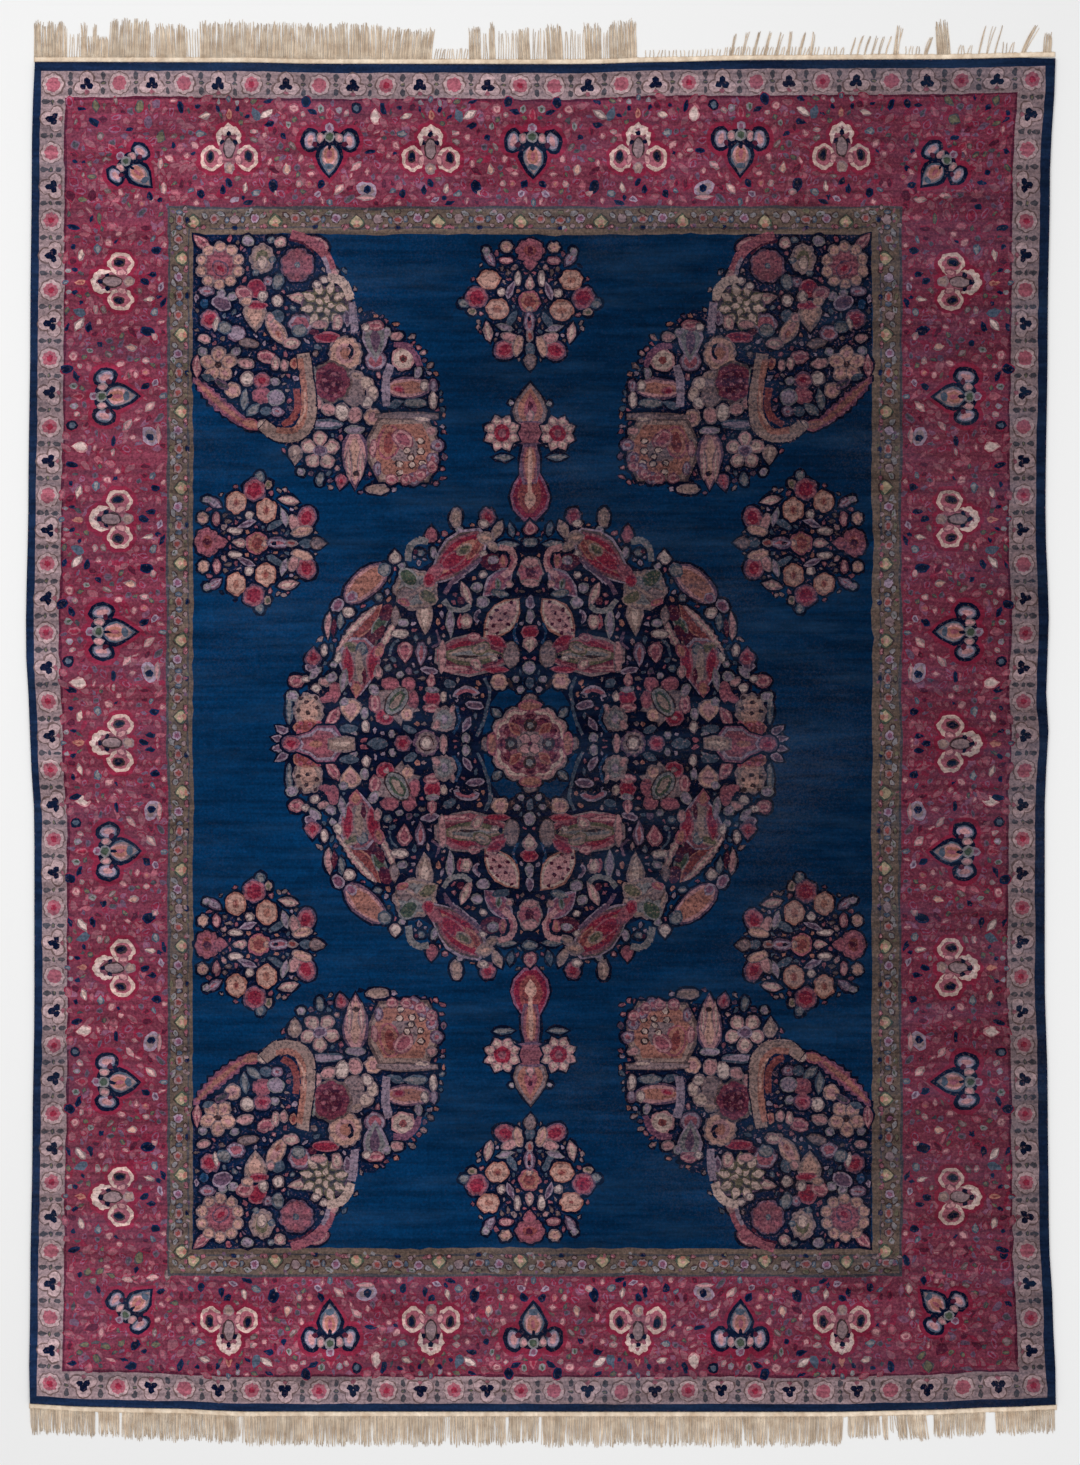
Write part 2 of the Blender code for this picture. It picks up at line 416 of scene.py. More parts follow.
    SQUARE_PALM = ((0, Dye.UMBER), (2.5, Dye.SAND), (7, Dye.SALMON), (20, Dye.TAUPE))
    STRIPED_BUD = ((0, Dye.MAUVE), (2.5, Dye.BLUSH), (8, Dye.APRICOT))
    EYE = ((0, Dye.BLUSH), (2.5, Dye.CREAM), (9, Dye.BRICK), (11, Dye.BROWN))


C, S = Coat, Shape


@dataclass(frozen=True)
class Sprig:
    """One small flower, bud, leaf or dot of the chart.

    Attributes:
        shape: which outline it has.
        x, y: its middle, in knots from the middle of its motif.
        long, wide: its size in knots, along and across its own axis.
        turn: the way its tip points, in degrees from +x.
        coat: its wools.
        bend: how far it curls to the left, in degrees.
        lobes: its number of lobes or teeth, or 0 for the usual number.
    """

    shape: Shape
    x: float
    y: float
    long: float
    wide: float
    turn: float
    coat: Coat
    bend: float = 0.0
    lobes: int = 0

    def outline(self, inset: float) -> Outline:
        """The shape drawn in by inset knots all round, turned but not yet placed."""
        long, wide = self.long - 2 * inset, self.wide - 2 * inset
        drawn = bent(OUTLINE_OF[self.shape](long, wide, self.lobes), self.long, self.bend)
        return [z * cmath.rect(1, math.radians(self.turn)) for z in drawn]


def ring(count: int, reach: float, petal: Sprig, start: float = 0.0,
         sweep: float = 360.0) -> tuple[Sprig, ...]:
    """Set petals round a middle, each turned outward.

    Args:
        count: how many petals.
        reach: how far they stand from the middle, in knots.
        petal: one of them, at the middle and pointing to +x.
        start: the direction of the first, in degrees.
        sweep: the angle that they share, in degrees.

    Returns:
        The petals.
    """
    made = []
    for i in range(count):
        angle = start + sweep * i / count
        out = cmath.rect(reach, math.radians(angle))
        made.append(replace(petal, x=petal.x + out.real, y=petal.y + out.imag,
                            turn=petal.turn + angle))
    return tuple(made)


def dots(size: float, coat: Coat, *places: complex) -> tuple[Sprig, ...]:
    """Round dots of one size and coat."""
    return tuple(Sprig(Shape.OVAL, z.real, z.imag, size, size * 0.9, 0, coat) for z in places)


@dataclass(frozen=True)
class Vine:
    """A stem or tendril: a route in knots from the middle of its motif, its width and its dye."""

    route: tuple[complex, ...]
    width: float
    dye: Dye


@dataclass(frozen=True)
class Spot:
    """Where a motif goes on the chart.

    Attributes:
        origin: the motif's middle, in knots.
        turn: its rotation and scale as a complex number.
        mirrored: whether it is flipped left to right before it is turned.
        stretch: how far its sprigs spread along x and y before that, while keeping their size.
    """

    origin: complex = 0j
    turn: complex = 1 + 0j
    mirrored: bool = False
    stretch: tuple[float, float] = (1.0, 1.0)

    def direct(self, z: complex) -> complex:
        """Flip and turn a point or direction, without moving it."""
        return self.turn * (-z.conjugate() if self.mirrored else z)

    def put(self, z: complex) -> complex:
        """Place a point of the motif on the chart."""
        return self.origin + self.direct(complex(z.real * self.stretch[0], z.imag * self.stretch[1]))


@dataclass(frozen=True)
class Patch:
    """One dyed area of the chart, in knots.

    Attributes:
        outline: its points.
        dye: its wool.
        tone: how bright that wool is against the usual.
        mingled: how far dark and pale knots are mingled into it, from 0 to 1.
    """

    outline: Outline
    dye: Dye
    tone: float
    mingled: float


# The narrowest coat that is still drawn, in knots, and how mingled the dark lines are against
# the wool that they go round.
SMALLEST = 1.0
HALO_MINGLED = 0.25


class Chart:
    """The weaver's chart: patches laid one over another, the last on top."""

    def __init__(self) -> None:
        """Start an empty chart."""
        self.patches: list[Patch] = []
        self.tone = 1.0
        self.mingled = 0.5

    def lay(self, outline: Outline, dye: Dye, spot: Spot = Spot()) -> None:
        """Lay one dyed outline on the chart.

        Args:
            outline: its points, in knots from the middle of spot.
            dye: its wool.
            spot: where it goes.
        """
        placed = [spot.put(z) for z in outline]
        self.patches.append(Patch(placed, dye, self.tone, self.mingled))

    def sew(self, sprigs: tuple[Sprig, ...], spot: Spot, halo: Dye | None,
            rim: float = 1.5) -> None:
        """Lay a motif's sprigs, with a dark line round all of them first.

        Args:
            sprigs: the sprigs, the lowest first.
            spot: where the motif goes.
            halo: the dye of the line round them, or None for no line.
            rim: the width of that line, in knots.
        """
        if halo is not None:
            for sprig in sprigs:
                self._lay_sprig(sprig, spot, -rim, halo, self.mingled * HALO_MINGLED)
        for sprig in sprigs:
            for inset, dye in sprig.coat.value:
                if min(sprig.long, sprig.wide) - 2 * inset >= SMALLEST:
                    self._lay_sprig(sprig, spot, inset, dye, self.mingled)

    def _lay_sprig(self, sprig: Sprig, spot: Spot, inset: float, dye: Dye,
                   mingled: float) -> None:
        """Lay one coat of one sprig."""
        middle = spot.put(complex(sprig.x, sprig.y))
        placed = [middle + spot.direct(z) for z in sprig.outline(inset)]
        self.patches.append(Patch(placed, dye, self.tone, mingled))

    def trail(self, vines: tuple[Vine, ...], spot: Spot) -> None:
        """Lay a motif's vines."""
        for vine in vines:
            for outline in ribbon(vine.route, vine.width):
                self.lay(outline, vine.dye, spot)


@dataclass(frozen=True)
class Sowing:
    """Small buds and leaves that fill the ground between larger motifs.

    Attributes:
        tries: how many places are tried.
        small, large: the least and the largest size of a bud, in knots.
        gap: the ground left round it, in knots.
        coats: the wools it may have.
        seed: its chance.
    """

    tries: int
    small: float
    large: float
    gap: float
    coats: tuple[Coat, ...]
    seed: int

    def sow(self, low: complex, high: complex, inside: Callable[[complex], bool],
            taken: tuple[Sprig, ...], vines: tuple[Vine, ...] = ()) -> tuple[Sprig, ...]:
        """Find places for buds between sprigs that are already there.

        Args:
            low, high: the corners of the rectangle that is sown.
            inside: whether a place belongs to the ground.
            taken: the sprigs that are there.
            vines: the vines that are there.

        Returns:
            The new sprigs.
        """
        rng = random.Random(self.seed)
        kept: list[Sprig] = list(taken)
        stems = [(z, vine.width / 2) for vine in vines for z in smooth(vine.route, 4)]
        made: list[Sprig] = []
        for _ in range(self.tries):
            z = complex(rng.uniform(low.real, high.real), rng.uniform(low.imag, high.imag))
            long = rng.uniform(self.small, self.large)
            wide = long * rng.uniform(0.4, 0.9)
            room = (long + wide) / 4 + self.gap
            if not inside(z) or any(abs(z - s) < room + w for s, w in stems):
                continue
            if any(touches(z, room, other) for other in kept):
                continue
            shape = rng.choice((Shape.OVAL, Shape.LEAF, Shape.DROP))
            bud = Sprig(shape, z.real, z.imag, long, wide, rng.uniform(0, 360),
                        rng.choice(self.coats))
            kept.append(bud)
            made.append(bud)
        return tuple(made)


def touches(z: complex, room: float, sprig: Sprig) -> bool:
    """Whether a disc of radius room about z would lie on a sprig."""
    off = z - complex(sprig.x, sprig.y)
    if abs(off) > room + max(sprig.long, sprig.wide) / 2:
        return False
    off *= cmath.rect(1, -math.radians(sprig.turn))
    return math.hypot(off.real / (sprig.long / 2 + room), off.imag / (sprig.wide / 2 + room)) < 1


# ---------------------------------------------------------------------------------------------
# The uneven outline, which follows the frame
# ---------------------------------------------------------------------------------------------

@dataclass(frozen=True)
class Stray:
    """How far an edge stands out from the plain rectangle, at a share of that edge."""

    share: float
    out: float


@dataclass(frozen=True)
class BodyEdge:
    """One edge of the knotted body, as rows between which the eye sees a soft wave."""

    rows: tuple[Stray, ...]

    def out_at(self, share: float) -> float:
        """Read the edge at a share of it, in metres."""
        for before, after in zip(self.rows, self.rows[1:]):
            if share <= after.share:
                part = max(0.0, (share - before.share) / (after.share - before.share))
                return before.out + (after.out - before.out) * (1 - math.cos(math.pi * part)) / 2
        return self.rows[-1].out


LEFT_EDGE = BodyEdge((
    Stray(0.00, 0.004), Stray(0.09, 0.000), Stray(0.20, -0.006), Stray(0.30, -0.011),
    Stray(0.43, -0.011), Stray(0.50, 0.001), Stray(0.57, 0.012), Stray(0.68, 0.005),
    Stray(0.80, 0.000), Stray(0.93, -0.004), Stray(1.00, -0.009),
))
RIGHT_EDGE = BodyEdge((
    Stray(0.00, 0.025), Stray(0.06, 0.015), Stray(0.13, 0.003), Stray(0.23, 0.000),
    Stray(0.32, -0.008), Stray(0.45, -0.008), Stray(0.50, 0.002), Stray(0.53, -0.004),
    Stray(0.58, 0.003), Stray(0.66, -0.006), Stray(0.80, 0.000), Stray(0.91, 0.006),
    Stray(1.00, 0.021),
))
HEAD_EDGE = BodyEdge((
    Stray(0.00, -0.001), Stray(0.20, -0.002), Stray(0.28, -0.006), Stray(0.53, -0.007),
    Stray(0.62, -0.001), Stray(0.70, 0.004), Stray(0.88, 0.006), Stray(1.00, 0.012),
))
FOOT_EDGE = BodyEdge((
    Stray(0.00, -0.017), Stray(0.06, -0.008), Stray(0.14, -0.004), Stray(0.21, 0.004),
    Stray(0.78, 0.005), Stray(0.87, 0.000), Stray(0.95, -0.008), Stray(1.00, -0.014),
))


@dataclass(frozen=True)
class Body:
    """The outline of the knotted body, and the place of its middle in the frame.

    Attributes:
        left, right, head, foot: its four edges.
        step: spacing of the points along the outline.
        edge_round: radius of the pile's rounded edge.
        shift: where the middle of the plain rectangle lies in the frame.
    """

    left: BodyEdge = LEFT_EDGE
    right: BodyEdge = RIGHT_EDGE
    head: BodyEdge = HEAD_EDGE
    foot: BodyEdge = FOOT_EDGE
    step: float = 0.1
    edge_round: float = 0.0035
    shift: complex = 0j

    def corner(self, side: int, end: int) -> complex:
        """A corner of the body: side is -1 left or 1 right, end is -1 foot or 1 head."""
        side_edge = self.right if side > 0 else self.left
        end_edge = self.head if end > 0 else self.foot
        return complex(side * (BODY_WIDTH / 2 + side_edge.out_at((end + 1) / 2)),
                       end * (BODY_LENGTH / 2 + end_edge.out_at((side + 1) / 2)))

    def end_y(self, end: int, x: float) -> float:
        """Where the head or foot edge lies at x, before the shift."""
        left, right = self.corner(-1, end).real, self.corner(1, end).real
        share = min(max((x - left) / (right - left), 0), 1)
        edge = self.head if end > 0 else self.foot
        return end * (BODY_LENGTH / 2 + edge.out_at(share))

    def end_line(self, end: int) -> Outline:
        """Points along the head or foot edge, left to right."""
        left, right = self.corner(-1, end).real, self.corner(1, end).real
        count = round((right - left) / self.step)
        across = [left + (right - left) * i / count for i in range(count + 1)]
        return [complex(x, self.end_y(end, x)) for x in across]

    def side_line(self, side: int) -> Outline:
        """Points along the left or right edge, foot to head, without the corners."""
        foot, head = self.corner(side, -1).imag, self.corner(side, 1).imag
        edge = self.right if side > 0 else self.left
        count = round((head - foot) / self.step)
        shares = [i / count for i in range(1, count)]
        return [complex(side * (BODY_WIDTH / 2 + edge.out_at(s)), foot + (head - foot) * s)
                for s in shares]

    def outline(self) -> Outline:
        """The body's outline in the frame, counter-clockwise from its left foot corner."""
        plain = (self.end_line(-1) + self.side_line(1) + self.end_line(1)[::-1]
                 + self.side_line(-1)[::-1])
        return [z + self.shift for z in plain]


def body_in_frame() -> Body:
    """Find the body's place from the box of its node in the frame."""
    lo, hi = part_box("carpet")
    xs = [z.real for z in Body().outline()]
    ys = [z.imag for z in Body().outline()]
    return Body(shift=complex((lo.x + hi.x) / 2 - (min(xs) + max(xs)) / 2,
                              (lo.y + hi.y) / 2 - (min(ys) + max(ys)) / 2))


# ---------------------------------------------------------------------------------------------
# Bands: the edge line, the two guards, the main border and the field
# ---------------------------------------------------------------------------------------------

class Side(Enum):
    """The four sides, by the way that points outward from the middle of the carpet."""

    HEAD = 1j
    FOOT = -1j
    LEFT = -1 + 0j
    RIGHT = 1 + 0j


@dataclass(frozen=True)
class Depths:
    """How deep each band is on one side, in knots, from the edge of the carpet inward."""

    edge_line: float
    outer_guard: float
    main_border: float
    inner_guard: float

    def upto(self, bands: int) -> float:
        """The depth at which so many bands end."""
        return sum((self.edge_line, self.outer_guard, self.main_border, self.inner_guard)[:bands])


DEPTHS = {
    Side.HEAD: Depths(9, 26, 110, 28),
    Side.FOOT: Depths(8, 27, 99, 28),
    Side.LEFT: Depths(8, 25, 104, 26),
    Side.RIGHT: Depths(10, 27, 109, 30),
}


def half_span(side: Side) -> float:
    """How far a side of the plain rectangle lies from its middle, in knots."""
    return WIDTH_IN_KNOTS / 2 if side.value.real else LENGTH_IN_KNOTS / 2


def line_of(side: Side, bands: int) -> float:
    """How far from the middle so many bands of a side end, in knots."""
    return half_span(side) - DEPTHS[side].upto(bands)


def rectangle(bands: int, deeper: float = 0.0, step: float = 9.0) -> Outline:
    """The rectangle inside so many bands, with points along it so that it can follow the edge.

    Args:
        bands: how many bands lie outside it.
        deeper: how much further in it lies, in knots.
        step: spacing of its points in knots.

    Returns:
        The outline, counter-clockwise.
    """
    left, right = deeper - line_of(Side.LEFT, bands), line_of(Side.RIGHT, bands) - deeper
    foot, head = deeper - line_of(Side.FOOT, bands), line_of(Side.HEAD, bands) - deeper
    corners = [complex(left, foot), complex(right, foot), complex(right, head),
               complex(left, head)]
    made = []
    for here, there in zip(corners, corners[1:] + corners[:1]):
        count = round(abs(there - here) / step)
        made += [here + (there - here) * i / count for i in range(count)]
    return made


@dataclass(frozen=True)
class Run:
    """A band along one side of the carpet.

    Attributes:
        side: which side.
        level: how far the line of its motifs lies from the middle of the carpet, in knots.
    """

    side: Side
    level: float

    def spot(self, along: float, backward: bool = False, turn: float = 0.0,
             stretch: tuple[float, float] = (1.0, 1.0)) -> Spot:
        """Place a motif whose +y points outward.

        Args:
            along: its place along the side, in +x at the head and foot and in +y at the sides.
            backward: whether its +x points to -x (or to -y) instead.
            turn: how far it is turned after that, in degrees.
            stretch: how far its sprigs spread.

        Returns:
            The spot.
        """
        out = self.side.value
        ahead = (1j if out.real else 1 + 0j) * (-1 if backward else 1)
        rotation = out / 1j
        mirrored = abs(rotation - ahead) > 0.1
        origin = out * self.level + abs(ahead.real) * along + 1j * abs(ahead.imag) * along
        return Spot(origin, rotation * cmath.rect(1, math.radians(turn)), mirrored, stretch)


# ---------------------------------------------------------------------------------------------
# The outer guard: rosettes and clubs in turn
# ---------------------------------------------------------------------------------------------

GUARD_ROSETTE = (Sprig(S.ROSE, 0, 0, 23, 23, 90, C.GUARD_ROSE, lobes=8),)
GUARD_CLUB = (
    Sprig(S.OVAL, -6.5, -4, 13, 12, 0, C.GUARD_PETAL),
    Sprig(S.OVAL, 6.5, -4, 13, 12, 0, C.GUARD_PETAL),
    Sprig(S.OVAL, 0, 5, 14, 14, 90, C.GUARD_PETAL),
    Sprig(S.OVAL, -3.2, -2.4, 7.5, 7, 0, C.NAVY),
    Sprig(S.OVAL, 3.2, -2.4, 7.5, 7, 0, C.NAVY),
    Sprig(S.OVAL, 0, 2.6, 9, 7.5, 90, C.NAVY),
    Sprig(S.OVAL, 0, -8.5, 5, 4, 0, C.ROSE),
)
GUARD_BRACKET = (
    Sprig(S.DROP, 0, 7, 9, 5.5, -90, C.BRACKET),
    Sprig(S.OVAL, 0, -7.5, 8, 5, 90, C.BRACKET),
    Sprig(S.OVAL, 0, 0.5, 6, 4, 0, C.GREEN_BUD),
)


@dataclass(frozen=True)
class OuterGuard:
    """The outer guard: a mauve-taupe stripe of rosettes and three-lobed clubs.

    Attributes:
        ends, sides: motifs along an end and along a side, with one in each corner.
        raised: how far outside the stripe's middle its motifs stand, in knots.
        halo: the width of the dark line round its motifs.
    """

    ends: int = 30
    sides: int = 39
    raised: float = 0.5
    halo: float = 1.2

    def draw(self, chart: Chart) -> None:
        """Lay the guard's motifs on the chart."""
        for side in Side:
            depth = DEPTHS[side]
            level = line_of(side, 1) - depth.outer_guard / 2 + self.raised
            low, high = self._reach(side)
            count = self.ends if side.value.imag else self.sides
            run = Run(side, level)
            pitch = (high - low) / (count - 1)
            for i in range(count):
                place = min(i, count - 1 - i)
                motif = GUARD_ROSETTE if place % 2 == 0 else GUARD_CLUB
                if 0 < i or side.value.imag:
                    chart.sew(motif, run.spot(low + pitch * i), Dye.UMBER, self.halo)
                if i < count - 1:
                    chart.sew(GUARD_BRACKET, run.spot(low + pitch * (i + 0.5)), None)

    def _reach(self, side: Side) -> tuple[float, float]:
        """Where the first and last motif of a side lie: in the two corners."""
        ends = (Side.LEFT, Side.RIGHT) if side.value.imag else (Side.FOOT, Side.HEAD)
        low, high = (line_of(s, 1) - DEPTHS[s].outer_guard / 2 for s in ends)
        return -low, high


# ---------------------------------------------------------------------------------------------
# The main border: cream and navy palmettes in turn, among flowers on madder
# ---------------------------------------------------------------------------------------------

CREAM_PALMETTE = (
    Sprig(S.ROSE, 0, 14.5, 28, 28, 90, C.PALE_RIM, lobes=9),
    Sprig(S.DROP, 0, 22, 14, 16, 90, C.PALE_RIM),
    Sprig(S.OVAL, 0, 1, 34, 20, 90, C.DUSTY),
    Sprig(S.ROSE, -18, -6.5, 29, 25, 90, C.CREAM_LOBE, lobes=6),
    Sprig(S.ROSE, 18, -6.5, 29, 25, 90, C.CREAM_LOBE, lobes=6),
    Sprig(S.OVAL, 0, 4, 22, 13, 90, C.PALE_HEART),
    Sprig(S.OVAL, -19, -4.5, 13, 9, 80, C.BLACK_EYE),
    Sprig(S.OVAL, 19, -4.5, 13, 9, 100, C.BLACK_EYE),
    Sprig(S.OVAL, -9, -7.5, 12, 8, 70, C.PINK),
    Sprig(S.OVAL, 9, -7.5, 12, 8, 110, C.PINK),
    Sprig(S.OVAL, 0, 18, 6, 6, 90, C.NAVY),
    Sprig(S.OVAL, -6.5, 9.5, 6, 4.5, 50, C.NAVY),
    Sprig(S.OVAL, 6.5, 9.5, 6, 4.5, 130, C.NAVY),
    Sprig(S.ROSE, 0, -16, 13, 12, 90, C.TAN, lobes=5),
)
NAVY_PALMETTE = (
    Sprig(S.OVAL, 0, 10, 26, 34, 90, C.NAVY),
    Sprig(S.OVAL, -19.5, 12, 26, 20, 80, C.NAVY_LOBE),
    Sprig(S.OVAL, 19.5, 12, 26, 20, 100, C.NAVY_LOBE),
    Sprig(S.DROP, 0, -8, 39, 29, -90, C.NAVY_BODY),
    Sprig(S.OVAL, 0, 25, 10, 9, 90, C.HEATHER),
    Sprig(S.OVAL, -9.5, 15, 11, 8, 90, C.BLUSH),
    Sprig(S.OVAL, 9.5, 15, 11, 8, 90, C.BLUSH),
    Sprig(S.OVAL, 0, 16, 12, 12, 90, C.MOSS),
    Sprig(S.OVAL, -15, 8, 6, 6, 0, C.WINE),
    Sprig(S.OVAL, 15, 8, 6, 6, 0, C.WINE),
    Sprig(S.OVAL, 0, -3, 20, 15, 90, C.SALMON_HEART),
    Sprig(S.OVAL, 0, -14.5, 7, 10, 90, C.SLATE),
    Sprig(S.OVAL, 0, 6, 8, 4, 90, C.NAVY),
)
BY_CREAM_PALMETTE = (
    Sprig(S.OVAL, 0, 52, 7, 5, 90, C.ASH),
    Sprig(S.OVAL, -10, 49, 6, 5, 90, C.LILAC),
    Sprig(S.OVAL, 9, 48, 6, 5, 90, C.LILAC),
    Sprig(S.OVAL, -11, 42, 7, 4.5, 110, C.INK),
    Sprig(S.OVAL, 9, 42, 7, 4.5, 70, C.INK),
    Sprig(S.DROP, 0.5, 37, 11, 6, 90, C.BRICK),
    Sprig(S.LEAF, -24, 35.5, 13, 7, 15, C.CREAM),
    Sprig(S.OVAL, -31, 44, 5, 6, 90, C.INK),
    Sprig(S.DROP, -28, 18, 11, 8, 0, C.ASH),
    Sprig(S.OVAL, -38, 19, 7, 7, 60, C.MAUVE_DARK),
    Sprig(S.DROP, 27, 37, 15, 9, 110, C.SLATE),
    Sprig(S.LEAF, 38, 37, 17, 8, 35, C.BONE),
    Sprig(S.OVAL, 25, 19.5, 6, 9, 90, C.BLUSH),
    Sprig(S.DROP, 36, 16, 8, 7, 60, C.PINK),
    Sprig(S.DROP, -6.5, -36, 11, 6, 90, C.INK),
    Sprig(S.DROP, 16, -34, 12, 6, 80, C.CREAM),
    Sprig(S.OVAL, -34, -25, 7, 6, 60, C.MAUVE_DARK),
    Sprig(S.OVAL, -28, -41, 10, 8, 90, C.INK),
    Sprig(S.OVAL, -38, -38, 8, 5, 30, C.ASH),
    Sprig(S.OVAL, 27, -40, 10, 8, 20, C.ASH),
    Sprig(S.OVAL, 44, -33, 15, 10, 100, C.INK),
    Sprig(S.OVAL, 49, -40, 7, 9, 80, C.BLUSH),
    Sprig(S.OVAL, -42, -4, 8, 7, 60, C.PINK),
    Sprig(S.LEAF, -22, 52, 12, 6, 20, C.ROSE),
    Sprig(S.OVAL, 18, 50, 6, 5, 0, C.PINK),
    Sprig(S.LEAF, -17, -44, 11, 6, 160, C.ROSE),
    Sprig(S.LEAF, 5, -46, 10, 6, 20, C.PLUM),
)
BY_NAVY_PALMETTE = (
    Sprig(S.DROP, 0, 38, 13, 8, 90, C.RED),
    Sprig(S.OVAL, -9, 43, 9, 7, 90, C.MOSS),
    Sprig(S.OVAL, 9, 42, 8, 7, 90, C.LILAC),
    Sprig(S.OVAL, 16, 39, 8, 6, 60, C.BLUSH),
    Sprig(S.OVAL, 26, 44, 12, 11, 90, C.NAVY_BUD),
    Sprig(S.DROP, 45, 36, 17, 12, 95, C.WHITE_BUD),
    Sprig(S.OVAL, -36, 43, 10, 11, 90, C.PINK),
    Sprig(S.OVAL, -27, 37, 6, 6, 90, C.BLUSH),
    Sprig(S.OVAL, -41, 26, 8, 6, 90, C.MOSS),
    Sprig(S.OVAL, -49, 5.5, 9, 7, 90, C.MAUVE_DARK),
    Sprig(S.OVAL, 40, 0.5, 12, 5, 5, C.INK),
    Sprig(S.OVAL, 50, 1, 8, 5, 10, C.BLUSH),
    Sprig(S.LEAF, 26, -14, 14, 7, 40, C.CREAM_PINK),
    Sprig(S.LEAF, 37, -19, 9, 6, 80, C.PINK),
    Sprig(S.DROP, -43, -16, 12, 8, 100, C.PEACH),
    Sprig(S.OVAL, -33, -15, 7, 7, 90, C.MAUVE_DARK),
    Sprig(S.OVAL, 36, -36, 21, 15, 160, C.PALE_BOWL),
    Sprig(S.OVAL, 37, -36, 9, 8, 90, C.INK),
    Sprig(S.LEAF, 35, -44, 20, 6, 0, C.BLUSH),
    Sprig(S.OVAL, -31, -31, 7, 8, 0, C.CREAM_PINK),
    Sprig(S.OVAL, -21, -31, 7, 8, 0, C.SALMON),
    Sprig(S.LEAF, 9, -36, 15, 8, 45, C.CREAM_PINK),
    Sprig(S.OVAL, -35, -44, 7, 6, 0, C.MAUVE_DARK),
    Sprig(S.OVAL, 0, -49, 9, 6, 90, C.ASH),
    Sprig(S.OVAL, -12, -41, 9, 7, 30, C.PLUM),
)
# What fills the ground between them in one cell.
BORDER_BUDS = Sowing(2200, 6, 14, 0.6, (
    C.INK, C.ROSE, C.ROSE, C.PINK, C.GREEN_BUD, C.GREEN_BUD, C.DUSTY, C.DUSTY, C.DUSTY, C.CARMINE,
    C.CARMINE, C.MAUVE_DARK, C.MAUVE, C.WINE, C.TAUPE), 29)


def in_cell(z: complex) -> bool:
    """Whether a place lies in one cell of the border, off the palmette's halo."""
    return abs(z.real) < 49 and abs(z.imag) < 50 and abs(z - 4j) > 20


